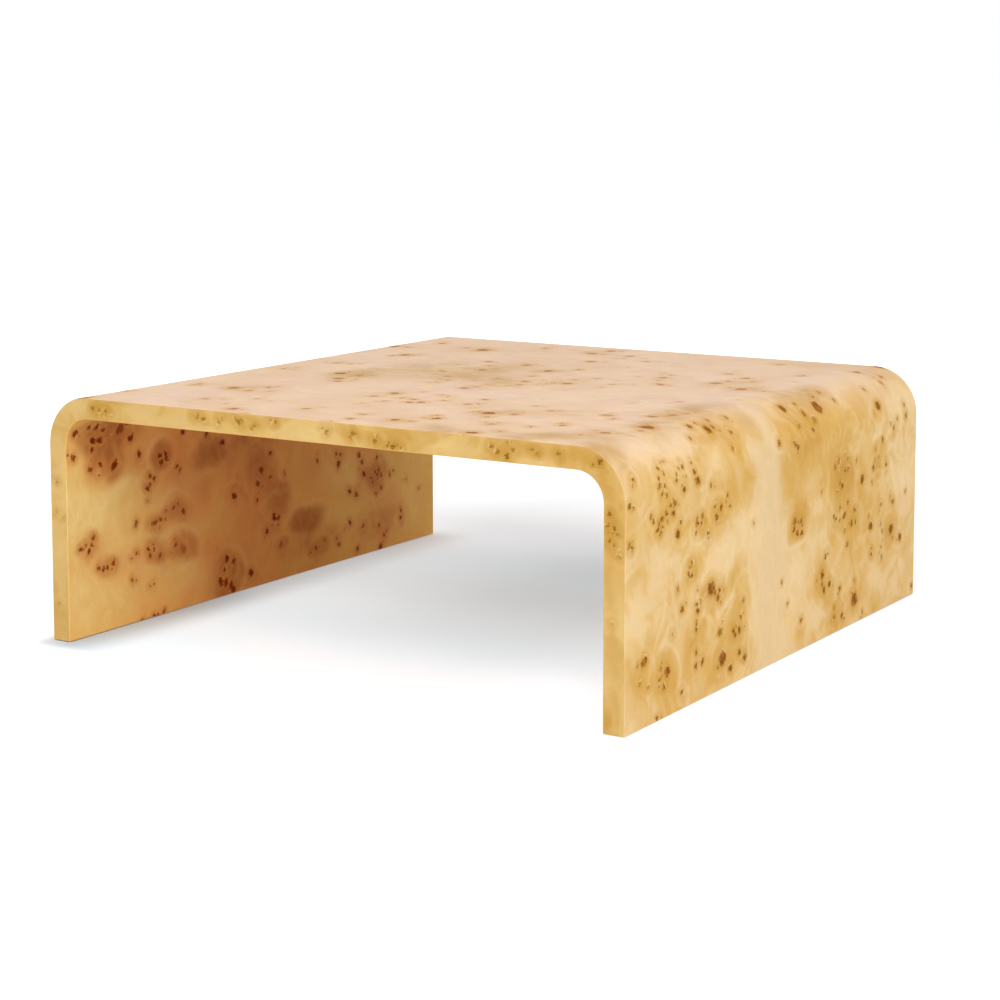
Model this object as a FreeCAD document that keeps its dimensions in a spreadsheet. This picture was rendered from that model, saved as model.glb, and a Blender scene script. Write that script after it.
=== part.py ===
"""Waterfall coffee table: flat boards joined by laminated bends and veneered all over.

Millimetres. The origin is the centre of the footprint on the floor, +Z is up, +X runs
towards the right leg and -Y towards the front. The arch is open at the front and the rear.
"""
import FreeCAD
import Part
import Sketcher

import math
import os

# Driving sizes
SIZES = {
    # The whole table
    "table_width": 1067,
    "table_depth": 1067,
    "table_height": 406,
    "slab_thickness": 35,
    "bend_radius": 80,
    # Face and edge veneer
    "veneer_thickness": 0.6,
    "arris_radius": 0.4,
    # Laminated bends
    "ply_count": 5,
    "bend_tail": 60,
    # Loose tongues in the glued joints
    "tongue_width": 30,
    "tongue_chamfer": 1.5,
    "joint_clearance": 0.1,
    "glue_gap": 0.5,
    # Hardwood lipping under each leg board
    "lipping_height": 20,
    "lipping_tongue_thickness": 8,
    "lipping_tongue_height": 6,
    # Glides sunk in the lippings
    "glides_per_leg": 2,
    "glide_end_inset": 70,
    "glide_radius": 10,
    "glide_thickness": 5,
    "glide_proud": 1.5,
    "glide_chamfer": 1,
    "glide_clearance": 0.2,
    # Nails through the glides
    "nail_length": 16,
    "nail_radius": 1.25,
    "nail_head_radius": 3,
    "nail_head_thickness": 1,
    "nail_tip_length": 2.5,
    "nail_sink": 1,
    "nail_clearance": 0.1,
}

SIDES = {"left": -1, "right": 1}
ENDS = ("front", "rear")
FULL_TURN = 360

# The eased arris of a leaf stays inside this share of the leaf's thickness
ARRIS_LIMIT_SHARE = 0.7

# Places and sizes that follow from the driving sizes
HALF_WIDTH = "sizes.table_width / 2"
BEND_X = f"({HALF_WIDTH} - sizes.bend_radius)"
BEND_Z = "(sizes.table_height - sizes.bend_radius)"
TAIL_X = f"({BEND_X} - sizes.bend_tail)"
TAIL_Z = f"({BEND_Z} - sizes.bend_tail)"
LEG_X = f"({HALF_WIDTH} - sizes.slab_thickness / 2)"
FOOT_Z = "sizes.glide_proud"
LIPPING_TOP_Z = f"({FOOT_Z} + sizes.lipping_height)"
CORE_DEPTH = "(sizes.table_depth - 2 * sizes.veneer_thickness)"
CORE_OUTER = "sizes.veneer_thickness"
CORE_INNER = "(sizes.slab_thickness - sizes.veneer_thickness)"
PLY_THICKNESS = f"(({CORE_INNER} - {CORE_OUTER}) / sizes.ply_count)"
GROOVE_DEPTH = "(sizes.tongue_width / 2 + sizes.glue_gap)"
FRONT_GLIDE_Y = "(sizes.table_depth / 2 - sizes.glide_end_inset)"
GLIDE_SPAN = f"(2 * {FRONT_GLIDE_Y})"

# Index numbers that stand for a sketch's axes and origin, and for the points of a line or arc
ACROSS_AXIS_INDEX, UP_AXIS_INDEX = -1, -2
ORIGIN_INDEX = (-1, 1)
START_INDEX, END_INDEX, CENTRE_INDEX = 1, 2, 3
NEARLY_ZERO = 1e-6

doc = FreeCAD.newDocument("coffee_table")
pieces = []


def make_sheet():
    """Write the driving sizes into a sheet, one alias for each."""
    cells = doc.addObject("Spreadsheet::Sheet", "sizes")
    for row, (alias, size) in enumerate(SIZES.items(), start=1):
        cells.set(f"A{row}", alias)
        cells.set(f"B{row}", str(size))
        cells.setAlias(f"B{row}", alias)
    doc.recompute()
    return cells


sheet = make_sheet()


def value(expression):
    """Value of an expression in the sheet's sizes."""
    return float(sheet.evalExpression(expression))


def depth_of_ply(number):
    """Depth below the outer skin at which a bend ply starts, counted from the outside."""
    return f"({CORE_OUTER} + {number} * {PLY_THICKNESS})"


ply_count = int(value("sizes.ply_count"))
middle_ply = ply_count // 2
SLOT_OUTER = depth_of_ply(middle_ply)
SLOT_INNER = depth_of_ply(middle_ply + 1)


# Sketches
def new_body(label):
    """Start one piece of the table."""
    body = doc.addObject("PartDesign::Body", label)
    body.Label = label
    pieces.append(body)
    return body


def new_sketch(body, name, plane_role, lift=None):
    """Sketch on one of the body's own origin planes, lifted along its normal if asked."""
    sketch = body.newObject("Sketcher::SketchObject", f"{body.Label}_{name}")
    plane = next(part for part in body.Origin.OriginFeatures if part.Role == plane_role)
    sketch.AttachmentSupport = (plane, [""])
    sketch.MapMode = "FlatFace"
    if lift:
        sketch.setExpression("AttachmentOffset.Base.z", lift)
    return sketch


def hold(sketch, direction, geometry, point, expression):
    """Hold one coordinate of a point at an expression, or on the axis where it is zero."""
    size = value(expression)
    if abs(size) < NEARLY_ZERO:
        axis = UP_AXIS_INDEX if direction == "DistanceX" else ACROSS_AXIS_INDEX
        sketch.addConstraint(Sketcher.Constraint("PointOnObject", geometry, point, axis))
        return
    rule = Sketcher.Constraint(direction, *ORIGIN_INDEX, geometry, point, size)
    number = sketch.addConstraint(rule)
    sketch.setExpression(f"Constraints[{number}]", expression)


def add_arc(sketch, start, end, centre):
    """Add the short arc from start to end; an arc always runs anticlockwise, so its own
    ends may be the other way round. Returns the numbers of its points at start and end."""
    from_centre = start - centre
    to_centre = end - centre
    circle = Part.Circle(centre, FreeCAD.Vector(0, 0, 1), from_centre.Length)
    angles = [math.atan2(reach.y, reach.x) for reach in (from_centre, to_centre)]
    anticlockwise = from_centre.cross(to_centre).z > 0
    first, last = angles if anticlockwise else reversed(angles)
    sketch.addGeometry(Part.ArcOfCircle(circle, first, last), False)
    return (START_INDEX, END_INDEX) if anticlockwise else (END_INDEX, START_INDEX)


def draw_outline(sketch, points, centres=None):
    """Closed outline through corners given as pairs of expressions, each corner held.

    centres maps the number of a round side to the pair of expressions of its centre. The
    corners already fix all of an arc but one coordinate of its centre.
    """
    centres = centres or {}
    corners = [FreeCAD.Vector(value(x), value(y), 0) for x, y in points]
    tips = []
    for side, start in enumerate(corners):
        end = corners[(side + 1) % len(corners)]
        if side in centres:
            centre = FreeCAD.Vector(*map(value, centres[side]), 0)
            tips.append(add_arc(sketch, start, end, centre))
        else:
            sketch.addGeometry(Part.LineSegment(start, end), False)
            tips.append((START_INDEX, END_INDEX))
    for side, (x, y) in enumerate(points):
        before = (side or len(points)) - 1
        meet = Sketcher.Constraint("Coincident", before, tips[before][1], side, tips[side][0])
        sketch.addConstraint(meet)
        hold(sketch, "DistanceX", side, tips[side][0], x)
        hold(sketch, "DistanceY", side, tips[side][0], y)
    for side, (centre_x, _) in centres.items():
        hold(sketch, "DistanceX", side, CENTRE_INDEX, centre_x)


def draw_circle(sketch, x, y, radius):
    """Circle with its centre and its radius held."""
    centre = FreeCAD.Vector(value(x), value(y), 0)
    sketch.addGeometry(Part.Circle(centre, FreeCAD.Vector(0, 0, 1), value(radius)), False)
    hold(sketch, "DistanceX", 0, CENTRE_INDEX, x)
    hold(sketch, "DistanceY", 0, CENTRE_INDEX, y)
    number = sketch.addConstraint(Sketcher.Constraint("Radius", 0, value(radius)))
    sketch.setExpression(f"Constraints[{number}]", radius)


def rectangle(low_x, high_x, low_y, high_y):
    """Corners of a rectangle."""
    return [(low_x, low_y), (high_x, low_y), (high_x, high_y), (low_x, high_y)]


def bend_layer(side, outer, inner, top_end, leg_end):
    """Corners and round sides of a layer that follows one bend.

    The layer lies between two depths below the outer skin. It reaches along the top to
    top_end from the middle of the table, and down the leg to the height leg_end.
    """
    bend = (f"{side} * {BEND_X}", BEND_Z)
    end_x = f"{side} * {top_end}"
    outer_x = f"{side} * ({HALF_WIDTH} - {outer})"
    inner_x = f"{side} * ({HALF_WIDTH} - {inner})"
    outer_z = f"sizes.table_height - {outer}"
    inner_z = f"sizes.table_height - {inner}"
    corners = [
        (end_x, outer_z), (bend[0], outer_z), (outer_x, BEND_Z), (outer_x, leg_end),
        (inner_x, leg_end), (inner_x, BEND_Z), (bend[0], inner_z), (end_x, inner_z),
    ]
    return corners, {1: bend, 5: bend}


def arch_band(outer, inner):
    """Corners and round sides of a band over the top and round both bends."""
    left_bend = (f"-{BEND_X}", BEND_Z)
    right_bend = (BEND_X, BEND_Z)
    outer_x = f"({HALF_WIDTH} - {outer})"
    inner_x = f"({HALF_WIDTH} - {inner})"
    outer_z = f"sizes.table_height - {outer}"
    inner_z = f"sizes.table_height - {inner}"
    corners = [
        (f"-{outer_x}", BEND_Z), (left_bend[0], outer_z), (right_bend[0], outer_z),
        (outer_x, BEND_Z), (inner_x, BEND_Z), (right_bend[0], inner_z),
        (left_bend[0], inner_z), (f"-{inner_x}", BEND_Z),
    ]
    return corners, {0: left_bend, 2: right_bend, 4: right_bend, 6: left_bend}


# Features
def add_pad(body, sketch, length, side_type="One side", reverse=False):
    """Pad a sketch and make it the body's tip."""
    pad = body.newObject("PartDesign::Pad", f"{body.Label}_pad")
    pad.Profile = sketch
    pad.SideType = side_type
    pad.Reversed = reverse
    pad.setExpression("Length", length)
    body.Tip = pad


def add_pocket(body, sketch, length, side_type="One side", reverse=False):
    """Cut a sketch out of the body and stop if it took nothing away."""
    doc.recompute()
    volume_before = body.Shape.Volume
    pocket = body.newObject("PartDesign::Pocket", f"{sketch.Name}_cut")
    pocket.Profile = sketch
    pocket.SideType = side_type
    pocket.Reversed = reverse
    pocket.setExpression("Length", length)
    body.Tip = pocket
    doc.recompute()
    if body.Shape.Volume >= volume_before:
        raise RuntimeError(f"{pocket.Name} cuts nothing")
    return pocket


def add_revolution(body, sketch):
    """Turn a half section about the body's upright axis."""
    turning = body.newObject("PartDesign::Revolution", f"{body.Label}_turning")
    turning.Profile = sketch
    turning.ReferenceAxis = (sketch, ["V_Axis"])
    turning.Angle = FULL_TURN
    body.Tip = turning


def add_edge_feature(body, kind, size_name, size, wanted):
    """Fillet or chamfer the edges of the body's tip that pass a test."""
    doc.recompute()
    base = body.Tip
    names = [f"Edge{number}" for number, edge in enumerate(base.Shape.Edges, start=1)
             if wanted(edge)]
    feature = body.newObject(f"PartDesign::{kind}", f"{body.Label}_{kind.lower()}")
    feature.Base = (base, names)
    feature.setExpression(size_name, size)
    body.Tip = feature


def skin_depth(point):
    """How far a point lies below the outer skin of the arch."""
    past_bend_x = abs(point.x) - value(BEND_X)
    past_bend_z = point.z - value(BEND_Z)
    if past_bend_x > 0 and past_bend_z > 0:
        reach = math.hypot(past_bend_x, past_bend_z)
    else:
        reach = max(past_bend_x, past_bend_z)
    return value("sizes.bend_radius") - reach


# Cores
def make_top_board():
    """Flat core of the top, grooved at both ends for the loose tongues."""
    body = new_body("top_board")
    profile = new_sketch(body, "profile", "XZ_Plane")
    lower_z = f"sizes.table_height - {CORE_INNER}"
    upper_z = f"sizes.table_height - {CORE_OUTER}"
    draw_outline(profile, rectangle(f"-{TAIL_X}", TAIL_X, lower_z, upper_z))
    add_pad(body, profile, CORE_DEPTH, "Symmetric")
    groove = new_sketch(body, "groove", "XZ_Plane")
    draw_outline(groove, rectangle(
        f"{TAIL_X} - {GROOVE_DEPTH}", TAIL_X,
        f"sizes.table_height - {SLOT_INNER}", f"sizes.table_height - {SLOT_OUTER}"))
    cut = add_pocket(body, groove, CORE_DEPTH, "Symmetric")
    mirror = body.newObject("PartDesign::Mirrored", "top_board_other_groove")
    mirror.Originals = [cut]
    mirror.MirrorPlane = (groove, ["V_Axis"])
    body.Tip = mirror


def make_leg_board(name, side):
    """Flat core of a leg, grooved above for the loose tongue and below for the lipping."""
    body = new_body(f"{name}_leg_board")
    profile = new_sketch(body, "profile", "XZ_Plane")
    draw_outline(profile, rectangle(
        f"{side} * ({HALF_WIDTH} - {CORE_INNER})", f"{side} * ({HALF_WIDTH} - {CORE_OUTER})",
        LIPPING_TOP_Z, TAIL_Z))
    add_pad(body, profile, CORE_DEPTH, "Symmetric")
    upper_groove = new_sketch(body, "upper_groove", "XZ_Plane")
    draw_outline(upper_groove, rectangle(
        f"{side} * ({HALF_WIDTH} - {SLOT_INNER})", f"{side} * ({HALF_WIDTH} - {SLOT_OUTER})",
        f"{TAIL_Z} - {GROOVE_DEPTH}", TAIL_Z))
    add_pocket(body, upper_groove, CORE_DEPTH, "Symmetric")
    half_groove = "(sizes.lipping_tongue_thickness / 2 + sizes.joint_clearance)"
    foot_groove = new_sketch(body, "foot_groove", "XZ_Plane")
    draw_outline(foot_groove, rectangle(
        f"{side} * {LEG_X} - {half_groove}", f"{side} * {LEG_X} + {half_groove}",
        LIPPING_TOP_Z, f"{LIPPING_TOP_Z} + sizes.lipping_tongue_height + sizes.glue_gap"))
    add_pocket(body, foot_groove, CORE_DEPTH, "Symmetric")


def make_bend_ply(name, side, number):
    """One curved ply of a bend. The middle ply stops short and leaves the tongue slots."""
    body = new_body(f"{name}_bend_ply_{number + 1}")
    setback = GROOVE_DEPTH if number == middle_ply else "0"
    profile = new_sketch(body, "profile", "XZ_Plane")
    corners, centres = bend_layer(
        side, depth_of_ply(number), depth_of_ply(number + 1),
        f"({TAIL_X} + {setback})", f"({TAIL_Z} + {setback})")
    draw_outline(profile, corners, centres)
    add_pad(body, profile, CORE_DEPTH, "Symmetric")


def make_tongue(label, corners):
    """Loose tongue with its four long edges chamfered so that it enters the grooves."""
    body = new_body(label)
    profile = new_sketch(body, "profile", "XZ_Plane")
    draw_outline(profile, corners)
    add_pad(body, profile, CORE_DEPTH, "Symmetric")

    def is_long(edge):
        start, end = (vertex.Point for vertex in edge.Vertexes)
        return abs(end.y - start.y) > NEARLY_ZERO

    add_edge_feature(body, "Chamfer", "Size", "sizes.tongue_chamfer", is_long)


def make_tongues(name, side):
    """The tongue under the top board's end and the one over the leg board."""
    slack = "sizes.joint_clearance"
    reach = "sizes.tongue_width / 2"
    outer = f"({SLOT_OUTER} + {slack})"
    inner = f"({SLOT_INNER} - {slack})"
    make_tongue(f"{name}_top_tongue", rectangle(
        f"{side} * ({TAIL_X} - {reach})", f"{side} * ({TAIL_X} + {reach})",
        f"sizes.table_height - {inner}", f"sizes.table_height - {outer}"))
    make_tongue(f"{name}_leg_tongue", rectangle(
        f"{side} * ({HALF_WIDTH} - {inner})", f"{side} * ({HALF_WIDTH} - {outer})",
        f"{TAIL_Z} - {reach}", f"{TAIL_Z} + {reach}"))


# Feet
def make_lipping(name, side):
    """Hardwood strip under a leg board, with a tongue above and glide sockets below."""
    body = new_body(f"{name}_foot_lipping")
    outer_x = f"{side} * ({HALF_WIDTH} - {CORE_OUTER})"
    inner_x = f"{side} * ({HALF_WIDTH} - {CORE_INNER})"
    tongue_outer_x = f"{side} * ({LEG_X} + sizes.lipping_tongue_thickness / 2)"
    tongue_inner_x = f"{side} * ({LEG_X} - sizes.lipping_tongue_thickness / 2)"
    tongue_top_z = f"{LIPPING_TOP_Z} + sizes.lipping_tongue_height"
    profile = new_sketch(body, "profile", "XZ_Plane")
    draw_outline(profile, [
        (inner_x, FOOT_Z), (outer_x, FOOT_Z), (outer_x, LIPPING_TOP_Z),
        (tongue_outer_x, LIPPING_TOP_Z), (tongue_outer_x, tongue_top_z),
        (tongue_inner_x, tongue_top_z), (tongue_inner_x, LIPPING_TOP_Z),
        (inner_x, LIPPING_TOP_Z),
    ])
    add_pad(body, profile, CORE_DEPTH, "Symmetric")
    socket = new_sketch(body, "socket", "XY_Plane", FOOT_Z)
    draw_circle(socket, f"{side} * {LEG_X}", f"-{FRONT_GLIDE_Y}",
                "sizes.glide_radius + sizes.glide_clearance")
    socket_cut = add_pocket(
        body, socket, "sizes.glide_thickness - sizes.glide_proud", reverse=True)
    pilot = new_sketch(body, "pilot", "XY_Plane", FOOT_Z)
    draw_circle(pilot, f"{side} * {LEG_X}", f"-{FRONT_GLIDE_Y}",
                "sizes.nail_radius + sizes.nail_clearance")
    pilot_end = "sizes.nail_sink + sizes.nail_length + sizes.nail_clearance"
    pilot_cut = add_pocket(body, pilot, f"{pilot_end} - {FOOT_Z}", reverse=True)
    row = body.newObject("PartDesign::LinearPattern", f"{name}_socket_row")
    row.Originals = [socket_cut, pilot_cut]
    row.Direction = (pilot, ["V_Axis"])
    row.setExpression("Length", GLIDE_SPAN)
    row.setExpression("Occurrences", "sizes.glides_per_leg")
    body.Tip = row


def place_glide_piece(body, side, number):
    """Stand a turned piece in its place in the row of glides."""
    body.setExpression("Placement.Base.x", f"{side} * {LEG_X}")
    step = f"{GLIDE_SPAN} / (sizes.glides_per_leg - 1)"
    body.setExpression("Placement.Base.y", f"{number} * {step} - {FRONT_GLIDE_Y}")


def make_glide(name, side, number):
    """Nylon glide: a turned disc with a chamfered rim and a sunk seat for the nail's head."""
    body = new_body(f"{name}_glide_{number + 1}")
    section = new_sketch(body, "section", "XZ_Plane")
    seat_radius = "sizes.nail_head_radius + sizes.nail_clearance"
    hole_radius = "sizes.nail_radius + sizes.nail_clearance"
    seat_z = "sizes.nail_sink + sizes.nail_head_thickness"
    draw_outline(section, [
        (seat_radius, "0"), ("sizes.glide_radius - sizes.glide_chamfer", "0"),
        ("sizes.glide_radius", "sizes.glide_chamfer"),
        ("sizes.glide_radius", "sizes.glide_thickness"),
        (hole_radius, "sizes.glide_thickness"), (hole_radius, seat_z), (seat_radius, seat_z),
    ])
    add_revolution(body, section)
    place_glide_piece(body, side, number)


def make_nail(name, side, number):
    """Steel nail that holds a glide: flat head, plain shank and a pointed end."""
    body = new_body(f"{name}_glide_nail_{number + 1}")
    section = new_sketch(body, "section", "XZ_Plane")
    head_top_z = "sizes.nail_sink + sizes.nail_head_thickness"
    end_z = "sizes.nail_sink + sizes.nail_length"
    shoulder_z = f"{end_z} - sizes.nail_tip_length"
    draw_outline(section, [
        ("0", "sizes.nail_sink"), ("sizes.nail_head_radius", "sizes.nail_sink"),
        ("sizes.nail_head_radius", head_top_z), ("sizes.nail_radius", head_top_z),
        ("sizes.nail_radius", shoulder_z), ("0", end_z),
    ])
    add_revolution(body, section)
    place_glide_piece(body, side, number)


# Veneer
def make_face_leaf(name, side, end, face, outer, inner, skin):
    """Leaf of face veneer from a foot over the bend to the middle, with an eased arris.

    It covers the front or the rear half of the depth. skin is the depth of its show face.
    """
    body = new_body(f"{name}_{end}_{face}_leaf")
    profile = new_sketch(body, "profile", "XZ_Plane")
    corners, centres = bend_layer(side, outer, inner, "0", FOOT_Z)
    draw_outline(profile, corners, centres)
    add_pad(body, profile, "sizes.table_depth / 2", reverse=end == "rear")

    def is_arris(edge):
        middle = edge.valueAt((edge.FirstParameter + edge.LastParameter) / 2)
        at_end = abs(abs(middle.y) - value("sizes.table_depth / 2")) < NEARLY_ZERO
        on_skin = abs(skin_depth(middle) - value(skin)) < NEARLY_ZERO
        return at_end and on_skin

    radius = f"min(sizes.arris_radius; {ARRIS_LIMIT_SHARE} * sizes.veneer_thickness)"
    add_edge_feature(body, "Fillet", "Radius", radius, is_arris)


def make_edge_strip(label, end, corners, centres=None):
    """Strip of veneer on the front or the rear edge of the cores."""
    body = new_body(label)
    front_lift = "(sizes.table_depth / 2 - sizes.veneer_thickness)"
    lift = front_lift if end == "front" else "(-sizes.table_depth / 2)"
    profile = new_sketch(body, "profile", "XZ_Plane", lift)
    draw_outline(profile, corners, centres)
    add_pad(body, profile, "sizes.veneer_thickness")


def make_edge_strips(end):
    """One strip over the top and both bends, and one down each leg."""
    corners, centres = arch_band(CORE_OUTER, CORE_INNER)
    make_edge_strip(f"{end}_arch_edge_strip", end, corners, centres)
    for name, side in SIDES.items():
        make_edge_strip(f"{end}_{name}_leg_edge_strip", end, rectangle(
            f"{side} * ({HALF_WIDTH} - {CORE_INNER})",
            f"{side} * ({HALF_WIDTH} - {CORE_OUTER})", FOOT_Z, BEND_Z))


def check_and_export():
    """Stop at the first failed object, then write one file for each piece."""
    doc.recompute()
    for thing in doc.Objects:
        if "Invalid" in thing.State or "Error" in thing.State:
            raise RuntimeError(f"{thing.Label} failed: {thing.State}")
    for body in pieces:
        shape = body.Shape
        if shape.isNull() or not shape.isValid() or len(shape.Solids) != 1:
            raise RuntimeError(f"{body.Label} is not one valid solid")
    os.makedirs("parts", exist_ok=True)
    for body in pieces:
        body.Shape.exportStep(f"parts/{body.Label}.step")


make_top_board()
for name, side in SIDES.items():
    make_leg_board(name, side)
    for number in range(ply_count):
        make_bend_ply(name, side, number)
    make_tongues(name, side)
    make_lipping(name, side)
    for number in range(int(value("sizes.glides_per_leg"))):
        make_glide(name, side, number)
        make_nail(name, side, number)
    for end in ENDS:
        make_face_leaf(name, side, end, "outer", "0", CORE_OUTER, "0")
        make_face_leaf(name, side, end, "inner", CORE_INNER, "sizes.slab_thickness",
                       "sizes.slab_thickness")
for end in ENDS:
    make_edge_strips(end)
check_and_export()

whole = Part.makeCompound([body.Shape for body in pieces])
box = whole.optimalBoundingBox(True, False)
print(f"{len(pieces)} pieces, {box.XLength:.2f} x {box.YLength:.2f} x {box.ZLength:.2f} mm")
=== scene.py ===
# %% [markdown]
# # A waterfall coffee table in burl veneer
# The table is one square slab that turns down through a round bend on each side, so its two legs
# are as deep as its top. The slab is fibreboard and bent plywood, made in CAD. What a person sees
# is the skin: thin leaves of pale burl, full of small brown eyes, under a satin lacquer.
# This lesson keeps the CAD's slab and builds the skin, its finish, the light and the camera.

import math

import bpy
import numpy as np
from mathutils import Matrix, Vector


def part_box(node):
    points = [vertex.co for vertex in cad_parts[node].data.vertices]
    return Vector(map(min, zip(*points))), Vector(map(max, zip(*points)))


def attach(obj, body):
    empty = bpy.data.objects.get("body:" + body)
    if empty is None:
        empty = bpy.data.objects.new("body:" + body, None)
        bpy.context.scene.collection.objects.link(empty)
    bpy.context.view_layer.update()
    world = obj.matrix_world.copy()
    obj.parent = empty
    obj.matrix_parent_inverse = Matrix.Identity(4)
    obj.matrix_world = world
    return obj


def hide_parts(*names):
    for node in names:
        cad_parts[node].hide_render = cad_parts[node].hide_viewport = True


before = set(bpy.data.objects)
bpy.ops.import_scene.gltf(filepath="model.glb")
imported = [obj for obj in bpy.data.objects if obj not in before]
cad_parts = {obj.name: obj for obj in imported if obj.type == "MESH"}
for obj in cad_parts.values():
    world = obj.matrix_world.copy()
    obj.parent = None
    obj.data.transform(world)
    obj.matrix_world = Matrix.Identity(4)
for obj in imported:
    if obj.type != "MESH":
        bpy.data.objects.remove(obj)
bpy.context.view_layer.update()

# %% [markdown]
# ## The camera
# A photograph fixes where its camera stood: only one place, one direction and one lens put the
# table's corners where they are. Its edges draw together only a little, so the lens is long and
# the camera stands well back. The frame is not centred on the lens axis, which is a shift.

# %% Camera
camera_data = bpy.data.cameras.new("camera")
camera_data.lens = 80.88
camera_data.sensor_width = 36.0
camera_data.shift_y = -0.165
camera_data.clip_end = 100.0
camera = bpy.data.objects.new("camera", camera_data)
camera.location = (2.00222, -3.20433, 0.8935)
camera.rotation_euler = (math.radians(90 - 6.178), 0.0, math.radians(32.0576))
bpy.context.scene.collection.objects.link(camera)
bpy.context.scene.camera = camera
print("camera is", round(camera.location.length, 2), "m from the table's middle on the floor")

# %% [markdown]
# ## The slab's measures
# Every measure comes from the CAD nodes, so the skin fits the slab. The edge strips give the
# veneer's thickness and the bend, and the leaves give the outside and the slab's thickness.

# %% Measures from the frame
strip_low, strip_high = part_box("front_arch_edge_strip")
outer_low, outer_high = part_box("right_front_outer_leaf")
_, inner_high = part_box("right_front_inner_leaf")
VENEER = strip_high.y - strip_low.y
HALF_WIDTH = outer_high.x
HALF_DEPTH = -outer_low.y
HEIGHT = outer_high.z
FOOT = outer_low.z
SLAB = HEIGHT - inner_high.z + VENEER
BEND = HEIGHT - strip_low.z
FLAT = HALF_WIDTH - BEND
BEND_HEIGHT = HEIGHT - BEND
MM = 0.001
ARRIS = 1.2 * MM  # the radius to which the front and rear edges are eased
print(f"slab {SLAB / MM:.1f} mm, bend {BEND / MM:.1f} mm, veneer {VENEER / MM:.2f} mm")

# %% [markdown]
# ## One arch, unrolled
# The skin is easiest to think of flat. Lay a tape from the middle of the top, over the bend and
# down to the foot: the distance along the tape is `along`. A second number says how deep a point
# lies in the slab. From these two the arch gives the place in the room.


# %% The arch
def arch(along, depth, skin):
    """The x and z of points of the arch.

    Along the top, x is the tape's length. Round the bend, the angle is the length past the flat
    over the skin's own radius, and the point is the bend's centre plus (bend - depth) times the
    sine and cosine of that angle. Down the leg, z falls by what is left of the tape. skin is the
    depth of the surface that the tape lies on; the sign of along picks the side.
    """
    radius = BEND - skin
    past = np.abs(along) - FLAT
    angle = np.clip(past / radius, 0.0, math.pi / 2)
    reach = np.minimum(np.abs(along), FLAT) + (BEND - depth) * np.sin(angle)
    drop = np.maximum(past - radius * math.pi / 2, 0.0)
    return np.sign(along) * reach, BEND_HEIGHT + (BEND - depth) * np.cos(angle) - drop


def tape_to_foot(skin):
    """The tape's length from the middle to the foot: flat, a quarter turn, then straight down."""
    return FLAT + (BEND - skin) * math.pi / 2 + BEND_HEIGHT - FOOT


print(f"outer tape {tape_to_foot(0.0) / MM:.1f} mm, inner tape {tape_to_foot(SLAB) / MM:.1f} mm")
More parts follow.
